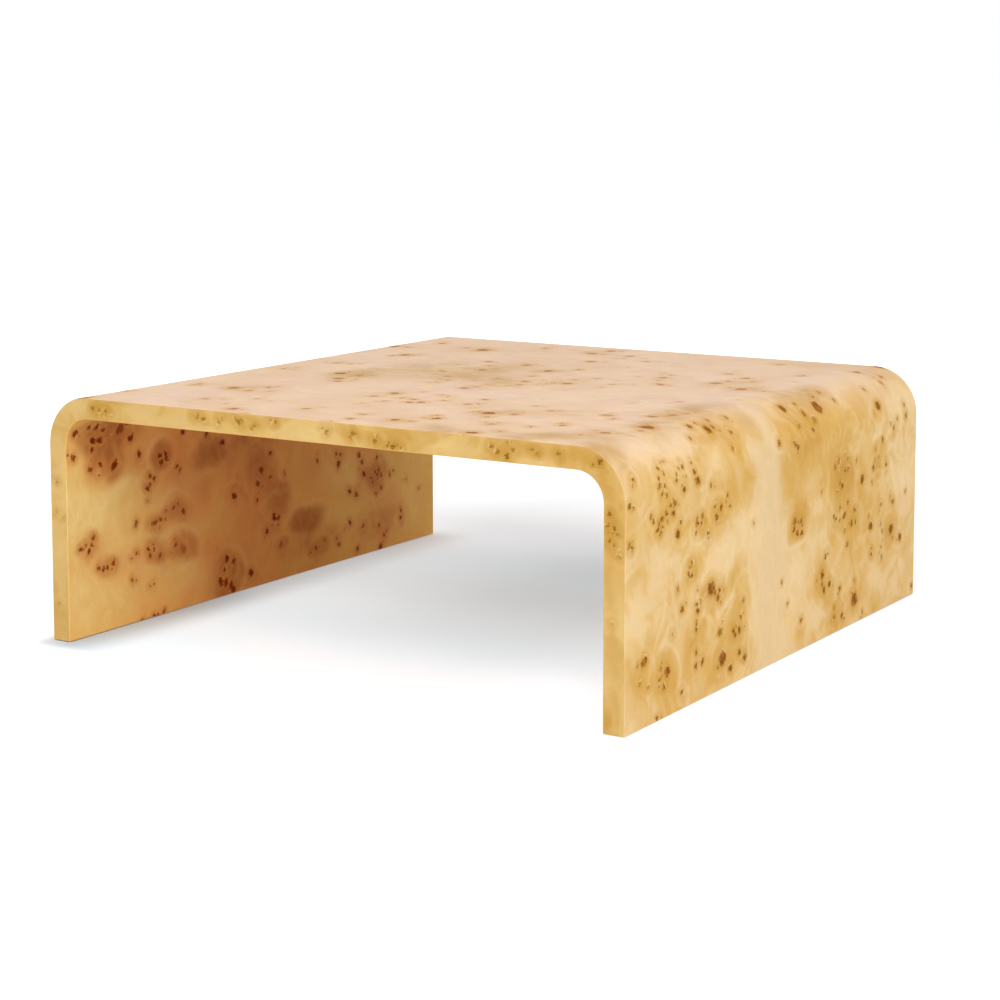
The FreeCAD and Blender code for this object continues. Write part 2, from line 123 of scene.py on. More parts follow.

# %% [markdown]
# ## The burl's eyes
# Burl grows where a tree makes hundreds of buds that never open. Cut through, each bud is an eye:
# a brown knot a few millimetres wide, often with a pale rim on one side. They gather in groups,
# and the wood round a group is more golden. The eyes here were placed with a ruler on the
# photograph: along the tape, across the table from front to back, the eye's size, and its tone.
# Lengths are in millimetres, and a tone over 1 is redder. Where the photograph shows nothing, the
# same wood goes on: a veneer maker cuts leaf after leaf from one block, and turns them about.

# %% Eyes seen on the right leg and its bend
RIGHT_LEG_EYES = (
    (457, -333, 24, 1.6), (465, -365, 12, 0.4), (487, -253, 12, 0.8), (483, -228, 9, 0.5),
    (503, -220, 20, 1.2), (501, -200, 8, 0.7), (517, -165, 9, 0.6), (490, -135, 9, 0.7),
    (510, -287, 8, 0.6), (503, 43, 17, 1.0), (501, 93, 9, 0.6), (523, 93, 12, 0.8),
    (537, 117, 14, 0.4), (517, 153, 24, 1.5), (497, 173, 8, 0.6), (490, 207, 9, 0.6),
    (513, 227, 10, 0.4), (553, 100, 8, 0.9), (540, 53, 11, 0.4), (510, 360, 10, 0.4),
    (460, 433, 15, 0.7), (493, 467, 9, 0.5), (507, 443, 11, 0.4), (545, 372, 18, 1.2),
    (463, 527, 20, 1.0), (540, -423, 7, 0.7), (533, -400, 6, 0.5), (555, -430, 7, 0.7),
    (550, -413, 6, 0.6), (565, -433, 7, 0.8), (566, -418, 6, 0.7), (577, -428, 7, 0.7),
    (580, -413, 6, 0.6), (563, -380, 8, 0.7), (556, -378, 6, 0.5), (547, -355, 7, 0.8),
    (581, -359, 10, 0.9), (562, -350, 4, 0.5), (560, -323, 9, 0.9), (575, -317, 15, 1.4),
    (588, -273, 8, 0.6), (543, -187, 10, 0.5), (557, -33, 10, 0.7), (567, 24, 10, 0.8),
    (572, 33, 9, 0.8), (563, 17, 6, 0.6), (557, 480, 9, 0.6), (577, 483, 9, 0.7),
    (577, 443, 8, 0.6), (590, 427, 8, 0.6), (583, 415, 6, 0.4), (545, -500, 8, 0.7),
    (580, -523, 8, 0.7), (583, -513, 7, 0.7), (597, -400, 9, 0.8), (598, -387, 9, 0.8),
    (592, -392, 6, 0.7), (605, -460, 8, 0.6), (612, -452, 7, 0.6), (607, -413, 10, 0.9),
    (610, -393, 10, 0.9), (613, -427, 10, 0.9), (627, -440, 10, 0.9), (633, -430, 9, 0.8),
    (618, -437, 7, 0.7), (625, -425, 6, 0.6), (643, -378, 15, 1.1), (637, -316, 9, 0.9),
    (629, -300, 8, 0.8), (640, -303, 7, 0.7), (630, -318, 6, 0.7), (657, -283, 6, 0.7),
    (621, -260, 9, 0.7), (638, -253, 11, 1.0), (627, -240, 11, 0.9), (611, -219, 8, 0.7),
    (627, -210, 7, 0.6), (635, -523, 9, 0.8), (640, -515, 7, 0.8), (668, -127, 6, 0.5),
    (659, 127, 7, 0.5), (617, 193, 12, 0.4), (625, 180, 8, 0.6), (637, 220, 9, 0.8),
    (634, 232, 7, 0.6), (617, 230, 9, 0.4), (627, 267, 8, 0.6), (660, 207, 12, 0.9),
    (655, 200, 7, 0.8), (661, 292, 15, 1.1), (648, 341, 9, 0.9), (633, 363, 9, 0.4),
    (605, 379, 9, 0.9), (651, 397, 8, 0.7), (673, 337, 8, 0.5), (618, 350, 7, 0.4),
    (693, -333, 8, 0.7), (710, -342, 9, 0.9), (712, -333, 8, 0.8), (723, -377, 10, 0.5),
    (690, 23, 11, 1.3), (702, 20, 9, 1.2), (693, 46, 9, 1.0), (710, 33, 11, 1.3),
    (713, 50, 9, 1.1), (700, 50, 7, 0.9), (707, 177, 8, 0.7), (712, 185, 7, 0.7),
    (697, 200, 9, 0.6), (717, 202, 8, 0.6), (712, 220, 12, 1.0), (693, 233, 8, 0.7),
    (709, 263, 9, 0.7), (730, 250, 9, 0.9), (730, 267, 9, 0.9), (737, 223, 8, 0.6),
    (763, 233, 10, 0.5), (748, 333, 16, 1.0), (717, 377, 9, 0.5), (711, 417, 8, 0.7),
    (720, 430, 8, 0.7), (711, 487, 9, 0.4), (737, -313, 7, 0.5), (757, -315, 9, 0.8),
    (768, -313, 11, 1.0), (755, -362, 9, 0.8), (743, -270, 22, 1.4), (760, -247, 12, 1.2),
    (752, -242, 8, 0.8), (752, -257, 8, 0.8), (787, -317, 9, 0.8), (795, -317, 8, 0.7),
    (787, -393, 7, 0.4), (783, -160, 8, 0.5), (805, -168, 8, 0.6), (780, -23, 7, 0.5),
    (770, 145, 9, 0.8), (797, 133, 16, 0.9), (765, 383, 9, 0.5), (752, 377, 8, 0.4),
    (768, 423, 19, 1.15), (790, 465, 12, 1.3), (798, 337, 8, 0.8), (793, 381, 7, 0.5),
    (811, 383, 9, 0.7), (808, -477, 17, 1.5), (838, -408, 16, 1.5), (830, -427, 7, 0.6),
    (845, -430, 8, 0.6), (858, -417, 9, 0.8), (822, -424, 5, 0.5), (837, -490, 6, 0.5),
    (848, -463, 8, 0.6), (830, -317, 8, 0.8), (850, -317, 9, 0.9), (847, -297, 10, 1.0),
    (815, -240, 14, 0.6), (823, -193, 12, 1.0), (830, -187, 9, 1.0), (825, -173, 10, 0.9),
    (857, -230, 24, 1.6), (868, -245, 7, 0.5), (878, -203, 12, 1.1), (861, -173, 11, 1.0),
    (872, -155, 11, 1.0), (818, 0, 8, 0.5), (855, 52, 9, 0.8), (823, 141, 12, 1.0),
    (817, 163, 13, 0.8), (813, 133, 8, 0.7), (833, 205, 9, 0.9), (863, 267, 22, 1.4),
    (850, 258, 8, 0.6), (860, 183, 8, 0.6), (877, 184, 8, 0.7), (882, 215, 10, 0.9),
    (893, 303, 9, 0.7), (878, -362, 8, 0.7), (899, -437, 8, 0.7), (888, 525, 9, 0.6),
)
print(len(RIGHT_LEG_EYES), "eyes read on the right leg")

# %% Eyes seen on the top, where the low camera shows only the strongest
TOP_EYES = (
    (-330, -310, 17, 0.8), (-285, -440, 14, 0.4), (-288, -325, 13, 0.5), (-295, -60, 18, 1.0),
    (-255, -120, 16, 0.8), (-235, -150, 12, 0.7), (-250, -65, 15, 0.5), (-355, 225, 18, 0.9),
    (-275, 370, 20, 1.0), (-175, -505, 13, 0.9), (-80, -445, 11, 0.6), (-75, -270, 10, 0.8),
    (-65, -225, 14, 0.8), (-165, 220, 14, 0.7), (-110, 110, 15, 0.7), (-115, 5, 12, 0.6),
    (-85, -40, 9, 0.5), (-80, 210, 16, 0.5), (-70, 430, 17, 0.6), (-60, 485, 17, 0.7),
    (15, -300, 12, 0.9), (30, -290, 12, 0.8), (-5, -110, 12, 0.8), (-25, 25, 9, 0.7),
    (-5, 160, 17, 0.9), (35, 15, 15, 0.6), (50, -25, 12, 0.5), (-10, 320, 16, 0.6),
    (10, 430, 15, 0.5), (40, -495, 11, 0.8), (105, -470, 13, 1.0), (148, -425, 14, 1.1),
    (105, -270, 14, 0.5), (100, -210, 12, 0.6), (110, 30, 15, 0.7), (95, 80, 12, 0.4),
    (120, 115, 12, 0.4), (185, -335, 17, 1.2), (225, -325, 14, 0.6), (250, -430, 14, 0.5),
    (255, -265, 13, 0.5), (270, -515, 15, 1.2), (250, 100, 13, 0.7), (210, 185, 15, 0.6),
    (220, 150, 9, 0.5), (320, 165, 17, 0.6), (335, 250, 14, 0.7), (325, 200, 12, 0.6),
    (345, -385, 10, 0.8), (350, -260, 17, 0.5), (390, 120, 16, 0.9), (415, -235, 14, 0.7),
    (435, -415, 15, 0.8), (432, -205, 14, 0.7), (443, -180, 12, 0.6), (-420, -60, 11, 0.5),
    (-410, -300, 12, 0.5), (-390, 60, 12, 0.5), (-400, 420, 14, 0.6), (-215, -395, 11, 0.4),
    (-160, 60, 14, 0.5), (-190, 460, 12, 0.5), (75, 375, 14, 0.4), (180, 60, 10, 0.4),
    (285, 290, 12, 0.5), (375, -70, 11, 0.4), (400, 330, 13, 0.5), (300, 460, 12, 0.5),
)
print(len(TOP_EYES), "eyes read on the top")

# %% Eyes seen on the inside of the left leg
LEFT_INSIDE_EYES = (
    (-507, -515, 13, 1.1), (-548, -517, 11, 1.1), (-503, -466, 15, 1.1), (-527, -470, 17, 1.3),
    (-527, -453, 14, 1.2), (-510, -447, 12, 1.0), (-541, -473, 11, 1.0), (-500, -485, 10, 0.8),
    (-515, -405, 20, 0.8), (-533, -377, 16, 1.1), (-505, -390, 13, 0.8), (-573, -477, 15, 0.8),
    (-567, -452, 12, 1.0), (-573, -419, 21, 1.4), (-565, -357, 13, 1.1), (-573, -303, 12, 1.2),
    (-571, -290, 11, 1.2), (-585, -300, 12, 1.2), (-581, -287, 11, 1.1), (-605, -330, 9, 1.0),
    (-611, -319, 9, 0.9), (-625, -338, 12, 1.1), (-620, -330, 7, 0.9), (-598, -260, 9, 1.0),
    (-605, -253, 9, 0.9), (-540, -243, 13, 1.0), (-552, -180, 11, 0.9), (-573, -137, 13, 1.2),
    (-610, 2, 10, 1.1), (-638, -27, 14, 1.0), (-661, -37, 13, 0.8), (-655, 0, 10, 0.6),
    (-654, 42, 9, 0.5), (-668, -22, 8, 0.6), (-673, -105, 14, 1.1), (-692, -38, 8, 0.9),
    (-730, 10, 17, 1.2), (-734, 22, 12, 1.1), (-752, -11, 12, 1.1), (-680, -367, 13, 0.7),
    (-687, -320, 16, 0.7), (-683, -305, 9, 0.7), (-668, -269, 8, 1.1), (-679, -245, 12, 1.0),
    (-664, -258, 6, 0.7), (-672, -293, 8, 0.6), (-701, -503, 10, 1.1), (-687, -472, 9, 1.1),
    (-707, -483, 11, 1.1), (-697, -490, 8, 0.9), (-699, -476, 9, 0.9), (-740, -460, 9, 1.1),
    (-744, -450, 9, 1.1), (-743, -440, 9, 1.1), (-738, -425, 10, 1.1), (-731, -367, 8, 1.0),
    (-728, -337, 9, 1.0), (-741, -333, 9, 0.9), (-733, -322, 7, 0.8), (-745, -307, 9, 0.8),
    (-745, -246, 20, 0.45), (-735, -266, 9, 0.9), (-775, -379, 8, 1.0), (-794, -333, 5, 0.7),
    (-793, -324, 5, 0.7), (-783, -127, 14, 1.1), (-790, -108, 13, 1.1), (-803, -135, 10, 1.2),
    (-822, -145, 16, 1.6), (-826, -131, 15, 1.6), (-833, -117, 13, 1.5), (-843, -110, 15, 1.6),
    (-821, -60, 14, 1.3), (-645, 143, 10, 0.7), (-641, 203, 8, 0.9), (-643, 215, 8, 0.8),
    (-660, 210, 13, 1.1), (-653, 277, 14, 0.8), (-667, 287, 10, 0.8), (-665, 337, 9, 0.8),
    (-690, 292, 13, 1.1), (-703, 317, 9, 0.8), (-693, 330, 9, 0.9), (-690, 343, 9, 0.9),
    (-702, 350, 9, 0.9), (-700, 338, 9, 0.8), (-711, 322, 9, 0.7), (-705, 381, 9, 0.8),
    (-699, 392, 7, 0.6), (-718, 245, 11, 1.1), (-728, 267, 12, 0.8), (-737, 333, 9, 0.7),
    (-727, 350, 9, 0.7), (-780, 245, 11, 1.0), (-792, 290, 9, 0.9), (-799, 343, 9, 0.9),
    (-823, 360, 9, 0.8), (-816, 368, 7, 0.6), (-782, 417, 10, 1.0), (-797, 418, 9, 1.0),
    (-809, 138, 9, 0.9), (-817, 120, 8, 0.6), (-800, 163, 8, 0.6), (-815, 210, 10, 0.9),
    (-835, 270, 11, 1.0), (-843, 347, 12, 1.3), (-747, 480, 8, 0.5), (-722, 437, 7, 0.5),
    (-847, -325, 8, 1.2), (-845, -300, 9, 1.3), (-850, -355, 8, 1.1), (-785, 30, 13, 0.5),
)
print(len(LEFT_INSIDE_EYES), "eyes read inside the left leg")

# %% Eyes seen on the front edge, along the tape and down into the slab
FRONT_EDGE_EYES = (
    (-438, 16, 8, 0.7), (-426, 18, 7, 0.6), (-412, 17, 8, 0.7), (-420, 24, 5, 0.5),
    (-212, 16, 8, 0.8), (-222, 10, 6, 0.6), (-183, 17, 7, 0.8), (-143, 15, 8, 0.8),
    (-148, 9, 6, 0.6), (-138, 11, 5, 0.6), (-113, 19, 8, 0.8), (-118, 23, 5, 0.6),
    (-70, 8, 7, 0.7), (24, 17, 9, 0.7), (17, 12, 5, 0.5), (74, 15, 9, 0.7), (69, 20, 6, 0.6),
    (112, 23, 8, 0.7), (117, 16, 5, 0.5), (137, 25, 8, 0.9), (144, 28, 9, 1.0), (151, 26, 6, 0.7),
    (315, 13, 7, 0.7), (325, 21, 8, 0.8), (342, 26, 9, 1.0), (342, 6, 6, 0.6), (352, 16, 7, 0.6),
    (382, 13, 8, 0.7), (391, 18, 6, 0.6), (426, 14, 8, 0.7), (500, 9, 10, 1.3), (592, 26, 8, 0.9),
    (608, 27, 7, 0.7), (612, 18, 8, 0.9), (618, 12, 6, 0.6), (628, 25, 7, 0.8), (650, 9, 6, 0.5),
    (-642, 15, 7, 0.4), (-700, 25, 5, 0.3), (-690, 12, 5, 0.3),
    (-842, 14, 7, 0.3), (745, 20, 5, 0.3),
)
print(len(FRONT_EDGE_EYES), "eyes read on the front edge")

# %% [markdown]
# ## Patches of colour
# Between its eyes the wood is cloudy. The patches were read off the photograph as ovals: the
# middle along and across, the half sizes, and a strength. A cloud on the right leg or the front
# edge is gold above zero and cream below. A disk is crisper and has a thin pale rim on one side:
# it is a whole group of buds, cut through. The top has brown smudges. The inside of the left leg
# has dark clouds, disks and pale streaks, over broad shades that are brown above zero: mostly
# painted shade, browner in the middle of the leg and paler towards its open front and rear.

# %% Patches seen on the right leg, on the top and inside the left leg
RIGHT_LEG_CLOUDS = (
    (570, -340, 52, 210, -0.28), (555, -30, 40, 90, -0.2),
    (520, -190, 34, 80, 0.6), (575, -400, 60, 75, 0.6), (600, -185, 60, 56, 0.7),
    (850, -200, 50, 82, 0.7), (810, -330, 80, 32, 0.5), (760, -175, 42, 42, 0.7),
    (560, 5, 90, 52, 0.7), (525, 110, 44, 90, 0.6), (590, 110, 50, 120, 0.8),
    (650, 200, 60, 80, 0.7), (692, 32, 46, 50, 0.7), (640, 350, 60, 62, 0.5),
    (740, 230, 50, 60, 0.5), (815, 140, 50, 42, 0.7), (870, 230, 32, 72, 0.7),
    (770, 400, 50, 60, 0.6), (500, 500, 40, 40, 0.4), (860, 480, 40, 52, 0.6),
    (870, -430, 34, 66, 0.6), (825, -465, 40, 60, 0.4), (745, -262, 20, 26, 0.6),
    (460, -420, 34, 90, -0.9), (505, -410, 24, 120, -0.7), (662, -430, 22, 110, -0.5),
    (685, -180, 50, 62, -0.75), (730, -75, 110, 44, -0.8), (740, -480, 44, 60, -0.6),
    (450, 270, 44, 90, -0.9), (545, 450, 40, 56, -0.6), (690, 110, 30, 46, -0.4),
    (790, 30, 56, 62, -0.7), (848, 352, 22, 50, -0.9), (780, -225, 12, 56, -0.8),
    (640, 480, 90, 52, -0.5), (742, 90, 26, 56, -0.5), (610, -90, 70, 34, -0.5),
    (890, -60, 30, 70, -0.4), (700, 470, 30, 60, -0.4), (490, 330, 30, 60, 0.2),
    (470, -150, 26, 80, 0.4), (525, 0, 34, 700, 0.25), (480, -500, 40, 50, 0.4),
    (700, -490, 60, 50, 0.4), (590, -360, 50, 150, -0.3), (580, 125, 26, 50, -0.3),
    (600, -25, 40, 34, 0.4), (600, 400, 56, 110, 0.35), (545, 225, 30, 40, 0.4),
    (665, -295, 34, 56, 0.4), (745, 35, 28, 34, 0.4), (715, 430, 34, 56, 0.35),
    (785, -450, 26, 90, 0.35), (782, -267, 26, 30, 0.4), (780, -146, 26, 30, 0.3),
    (858, -327, 34, 36, -0.9), (850, 325, 44, 64, 0.9), (805, 458, 36, 40, -0.6),
    (500, 335, 24, 50, -0.35), (625, -460, 50, 80, -0.35), (742, 398, 28, 34, 0.4),
    (580, 470, 36, 44, 0.4), (530, -88, 44, 34, 0.6), (700, -520, 28, 30, 0.5),
    (620, 280, 28, 34, 0.5), (664, -290, 28, 40, 0.3), (600, 170, 26, 40, -0.3),
)
RIGHT_LEG_DISKS = (
    (750, -258, 32, 42, 0.6), (698, 36, 32, 42, 0.6), (816, 140, 38, 38, 0.45),
    (840, -414, 32, 36, 0.45), (828, -482, 34, 30, 0.35), (862, 264, 28, 32, 0.45),
    (768, 424, 32, 36, 0.45), (640, -312, 18, 26, 0.4), (632, -252, 22, 28, 0.4),
    (705, -342, 26, 26, 0.45), (648, 205, 44, 50, 0.35), (638, 362, 36, 40, 0.3),
    (505, -226, 24, 46, 0.35), (856, -226, 30, 34, 0.35), (822, -188, 26, 30, 0.4),
)
TOP_SMUDGES = (
    (-330, -310, 36, 36, 0.6), (-275, -60, 44, 64, 0.7), (-240, 100, 60, 150, 0.45),
    (-150, 40, 60, 150, 0.45), (-90, 110, 50, 150, 0.5), (20, -40, 44, 84, 0.45),
    (30, 250, 60, 60, 0.4), (190, -330, 36, 54, 0.6), (300, -280, 60, 60, 0.35),
    (330, 170, 42, 62, 0.5), (400, 120, 32, 52, 0.5), (440, -330, 32, 62, 0.5),
    (430, -150, 32, 100, 0.5), (350, 480, 60, 60, 0.3), (-70, -230, 36, 44, 0.35),
    (-355, 225, 30, 44, 0.45), (-275, 370, 34, 50, 0.45), (-70, 450, 40, 60, 0.35),
    (-5, 160, 30, 40, 0.35), (110, 30, 30, 44, 0.3), (105, -470, 36, 40, 0.35),
    (370, -500, 50, 50, 0.6), (435, -440, 40, 50, 0.35), (205, -505, 44, 46, 0.4),
    (-40, -500, 60, 60, 0.25), (430, 500, 40, 60, 0.3), (-60, 10, 40, 50, 0.35),
    (472, -440, 36, 130, 0.35), (395, -500, 44, 50, 0.3), (300, -505, 50, 44, 0.3),
    (404, -130, 44, 90, 0.3), (0, 20, 40, 130, 0.3), (478, 160, 36, 90, 0.7),
    (498, -515, 36, 40, 0.6), (496, -85, 32, 40, 0.45), (490, -340, 30, 50, 0.25),
    (455, -230, 34, 60, 0.35), (210, -520, 60, 44, 0.3), (470, 470, 30, 50, 0.25),
)
LEFT_INSIDE_CLOUDS = (
    (-520, -460, 40, 62, 0.75), (-515, -390, 30, 44, 0.45), (-573, -420, 28, 28, 0.65),
    (-575, -470, 24, 26, 0.3), (-579, -297, 27, 28, 0.75), (-590, -175, 22, 44, 0.3),
    (-640, -30, 34, 50, 0.3), (-690, 25, 34, 44, 0.45), (-748, 110, 26, 60, 0.7),
    (-742, -240, 30, 42, 0.4), (-676, -252, 26, 40, 0.35), (-690, -320, 20, 30, 0.3),
    (-735, -320, 28, 36, 0.35), (-820, -130, 50, 50, 0.6), (-790, 60, 40, 60, 0.3),
    (-700, 320, 46, 62, 0.3), (-790, 340, 40, 90, 0.3), (-600, -80, 60, 80, 0.15),
    (-570, -40, 40, 90, 0.2), (-610, 60, 60, 60, 0.15), (-700, -480, 32, 30, 0.3),
    (-740, -430, 28, 34, 0.25), (-800, 150, 34, 60, 0.4),
    (-735, -430, 16, 18, 0.2), (-572, -170, 32, 40, 0.35), (-590, -60, 40, 70, 0.3),
    (-690, 330, 30, 60, 0.2), (-560, -430, 60, 90, 0.1), (-610, -170, 60, 60, 0.2),
    (-765, -300, 24, 44, 0.2),
)
LEFT_INSIDE_DISKS = (
    (-577, -297, 27, 32, 0.4), (-614, -330, 20, 26, 0.3), (-672, -260, 26, 36, 0.3),
    (-690, -314, 24, 28, 0.3), (-738, -326, 26, 36, 0.3), (-742, -248, 32, 42, 0.35),
    (-642, -20, 36, 48, 0.4), (-700, 22, 36, 46, 0.3), (-812, -124, 42, 42, 0.4),
    (-748, 110, 26, 58, 0.3), (-672, -105, 22, 26, 0.3), (-752, -10, 18, 24, 0.3),
    (-786, 32, 20, 26, 0.3), (-650, 212, 20, 32, 0.3), (-700, 330, 34, 52, 0.3),
    (-792, 345, 32, 50, 0.25), (-585, -175, 30, 46, 0.4), (-740, -440, 24, 36, 0.3),
    (-698, -488, 30, 36, 0.25), (-730, 258, 24, 32, 0.25), (-812, 142, 24, 36, 0.25),
)
LEFT_INSIDE_PALE = (
    (-640, -450, 42, 100, 1.0), (-650, -300, 20, 60, 0.4), (-800, -470, 60, 66, 0.7),
    (-790, -380, 40, 56, 0.4), (-560, -330, 24, 28, 0.4), (-745, -520, 60, 26, 0.7),
    (-600, -520, 70, 22, 0.7), (-700, -400, 30, 60, 0.5), (-640, 450, 50, 60, 0.4),
    (-760, 440, 60, 40, 0.3), (-620, -215, 16, 50, 0.35), (-700, -200, 18, 40, 0.3),
    (-640, -500, 24, 50, 0.6), (-712, -300, 10, 60, 0.5), (-775, -270, 14, 70, 0.5),
    (-610, -400, 12, 50, 0.6), (-600, -300, 10, 60, 0.3), (-800, -240, 20, 50, 0.4),
    (-682, 225, 34, 80, 0.5), (-762, 216, 24, 50, 0.4),
)
# Broad shades inside the left leg: mostly painted shade, browner in the middle of the leg and
# paler towards its open front and rear, with a few of the wood's own patches.
LEFT_INSIDE_PATCHES_AND_SHADE = (
    (-650, -360, 50, 80, 0.3), (-700, 420, 60, 60, -0.5), (-790, 60, 40, 160, -0.25),
    (-680, -70, 180, 210, 1.2), (-560, -250, 60, 140, 0.6), (-800, -120, 60, 140, 0.7),
    (-640, -450, 60, 110, -1.3), (-770, -480, 100, 80, -1.0), (-620, 320, 90, 90, 0.5),
    (-720, 480, 120, 60, -0.8), (-800, 300, 60, 90, 0.5), (-700, -330, 40, 60, -0.4),
    (-705, -485, 34, 44, 0.9), (-745, -440, 26, 42, 0.6), (-600, -470, 30, 60, 0.6),
    (-682, 240, 44, 110, -0.6), (-740, 190, 44, 90, -0.6),
)
FRONT_EDGE_CLOUDS = (
    (-425, 16, 40, 18, 0.6), (-180, 14, 66, 16, 0.6), (-100, 16, 40, 14, 0.5),
    (75, 12, 56, 14, 0.7), (150, 22, 56, 14, 0.6), (330, 15, 60, 20, 0.6),
    (440, 10, 40, 12, 0.6), (540, 25, 40, 14, 0.7), (610, 20, 60, 20, 0.6),
    (800, 15, 50, 16, 0.6), (690, 26, 40, 10, 0.5), (870, 20, 30, 16, 0.5),
    (380, 16, 110, 30, 0.4), (-480, 10, 30, 20, -0.7), (-350, 16, 60, 14, -0.6),
    (0, 20, 40, 14, -0.6), (230, 22, 50, 12, -0.7), (400, 30, 60, 7, -0.7),
    (-600, 15, 50, 18, -0.4), (-780, 18, 60, 16, -0.3), (740, 8, 40, 10, -0.5),
    (500, 30, 30, 8, -0.5),
)
print(len(RIGHT_LEG_CLOUDS), "clouds and", len(RIGHT_LEG_DISKS), "disks read on the right leg")

# %% [markdown]
# ## From a list to whole sheets
# A round dot with a hard edge looks printed, so each eye gets its own oval and its own turn, and
# a small crumb may lie beside it. The low camera shows only the top's strongest eyes, so lesser
# ones are strewn about those. The draws are seeded, which gives the same table each time.


# %% Sheets of eyes
def turned(rows):
    """The same leaf laid end for end: both distances change sign."""
    return tuple((-along, -across, *rest) for along, across, *rest in rows)


def mirrored(rows):
    """The same strip on the other side of the table: the distance along changes sign."""
    return tuple((-along, *rest) for along, *rest in rows)


def softer(rows):
    """Eyes that the low camera shows pale and drawn out: wider, with three quarters the tone."""
    return tuple((along, across, size * 1.25, tone * 0.75) for along, across, size, tone in rows)


def strewn(rows, seed, each, along=26, across=34):
    """`each` lesser eyes about every one, in a bell curve `along` by `across` millimetres wide."""
    rng = np.random.default_rng(seed)
    near = np.repeat(np.array(rows, float), each, axis=0)
    near[:, 0] += rng.normal(0, along, len(near))
    near[:, 1] += rng.normal(0, across, len(near))
    near[:, 2] = rng.uniform(4.5, 9.5, len(near))
    near[:, 3] *= rng.uniform(0.5, 0.9, len(near))
    return tuple(tuple(row) for row in near.tolist())


def sheet_of_eyes(rows, seed, crumbs=1, strength=1.0, oval=(0.6, 0.95)):
    """Columns along, across, half length, half width, turn, tone and a random share, in metres.

    The half width is the half length times a random share between the two of `oval`. Up to
    `crumbs` small eyes lie near each one, at a random bearing and about a size away from it.
    """
    rng = np.random.default_rng(seed)
    big = np.array(rows, float)
    count = rng.integers(0, crumbs + 1, len(big))
    parent = np.repeat(big, count, axis=0)
    bearing = rng.uniform(0, 2 * math.pi, len(parent))
    away = parent[:, 2] * rng.uniform(0.8, 1.5, len(parent)) + 2
    small = np.stack([
        parent[:, 0] + away * np.cos(bearing),
        parent[:, 1] + away * np.sin(bearing),
        rng.uniform(2.4, 4.6, len(parent)),
        parent[:, 3] * 0.75,
    ], axis=1)
    every = np.concatenate([big, small])
    long = every[:, 2] / 2 * MM
    return {
        "along": every[:, 0] * MM,
        "across": every[:, 1] * MM,
        "long": long,
        "wide": long * rng.uniform(*oval, len(every)),
        "turn": rng.uniform(0, math.pi, len(every)),
        "tone": every[:, 3] * strength,
        "chance": rng.uniform(0, 1, len(every)),
    }


outer_eyes = sheet_of_eyes(RIGHT_LEG_EYES + softer(TOP_EYES) + strewn(TOP_EYES, 13, 2)
                           + turned(RIGHT_LEG_EYES), 3, oval=(0.72, 1.05))
inner_eyes = sheet_of_eyes(
    LEFT_INSIDE_EYES + turned(TOP_EYES) + turned(LEFT_INSIDE_EYES), 5, strength=0.78)
outer_clouds = RIGHT_LEG_CLOUDS + turned(RIGHT_LEG_CLOUDS)
outer_disks = RIGHT_LEG_DISKS + turned(RIGHT_LEG_DISKS)
inner_clouds = LEFT_INSIDE_CLOUDS + turned(LEFT_INSIDE_CLOUDS) + turned(TOP_SMUDGES)
inner_disks = LEFT_INSIDE_DISKS + turned(LEFT_INSIDE_DISKS)
inner_pale = LEFT_INSIDE_PALE + turned(LEFT_INSIDE_PALE)
inner_patches_and_shade = LEFT_INSIDE_PATCHES_AND_SHADE + turned(LEFT_INSIDE_PATCHES_AND_SHADE)
front_edge_eyes = sheet_of_eyes(FRONT_EDGE_EYES, 7, strength=0.7)
rear_edge_eyes = sheet_of_eyes(mirrored(FRONT_EDGE_EYES), 9, strength=0.7)
print({"outer": len(outer_eyes["tone"]), "inner": len(inner_eyes["tone"])})

# %% [markdown]
# ## Drawing an eye between the points of a mesh
# A mesh point every few millimetres is too coarse to draw an eye by colouring points. Here each
# quad picks the eye it is nearest to, and its corners hold where they are in that eye's own axes.
# Between corners those numbers run evenly, so the shader can draw the eye's outline exactly.


# %% Nearest eye
def nearest_eye(along, across, eyes):
    """For quads with corners at (along, across), each (quads, 4): (place, look) for each corner.

    In an eye's axes a point is its offset, turned by the eye's angle and divided by the half
    length and half width. Its distance outside is (length of that - 1) times the mean radius, and
    each quad keeps the eye with the least distance at its middle. place is the two numbers and
    the radius in millimetres; look is the tone, the redness and a random share.
    """
    middle_along, middle_across = along.mean(1), across.mean(1)
    radius = np.sqrt(eyes["long"] * eyes["wide"])
    best = np.full(len(along), np.inf)
    chosen = np.zeros(len(along), int)

    def in_axes(k, a, c):
        a, c = a - eyes["along"][k], c - eyes["across"][k]
        cos, sin = np.cos(eyes["turn"][k]), np.sin(eyes["turn"][k])
        return (a * cos + c * sin) / eyes["long"][k], (c * cos - a * sin) / eyes["wide"][k]

    for k in range(len(radius)):
        distance = (np.hypot(*in_axes(k, middle_along, middle_across)) - 1) * radius[k]
        nearer = distance < best
        best[nearer] = distance[nearer]
        chosen[nearer] = k
    first, second = in_axes(chosen[:, None], along, across)
    tone, chance, size = (np.broadcast_to(each[chosen][:, None], along.shape)
                          for each in (eyes["tone"], eyes["chance"], radius / MM))
    place = np.stack([first, second, size], axis=-1)
    look = np.stack([np.minimum(tone, 1), np.maximum(tone - 1, 0), chance], axis=-1)
    return place, look


mean_eye = np.sqrt(outer_eyes["long"] * outer_eyes["wide"]).mean() / MM
print(f"an outer eye's mean radius is {mean_eye:.1f} mm")

# %% [markdown]
# ## Ground, clouds and grain
# The colour between the eyes changes slowly, so one number at each point of the mesh is fine
# enough. Wood is golden near eyes, and clouds, disks and smudges lie where the lists have them.
# Down the middle of the right leg the photograph shows plain wood with a straight grain.


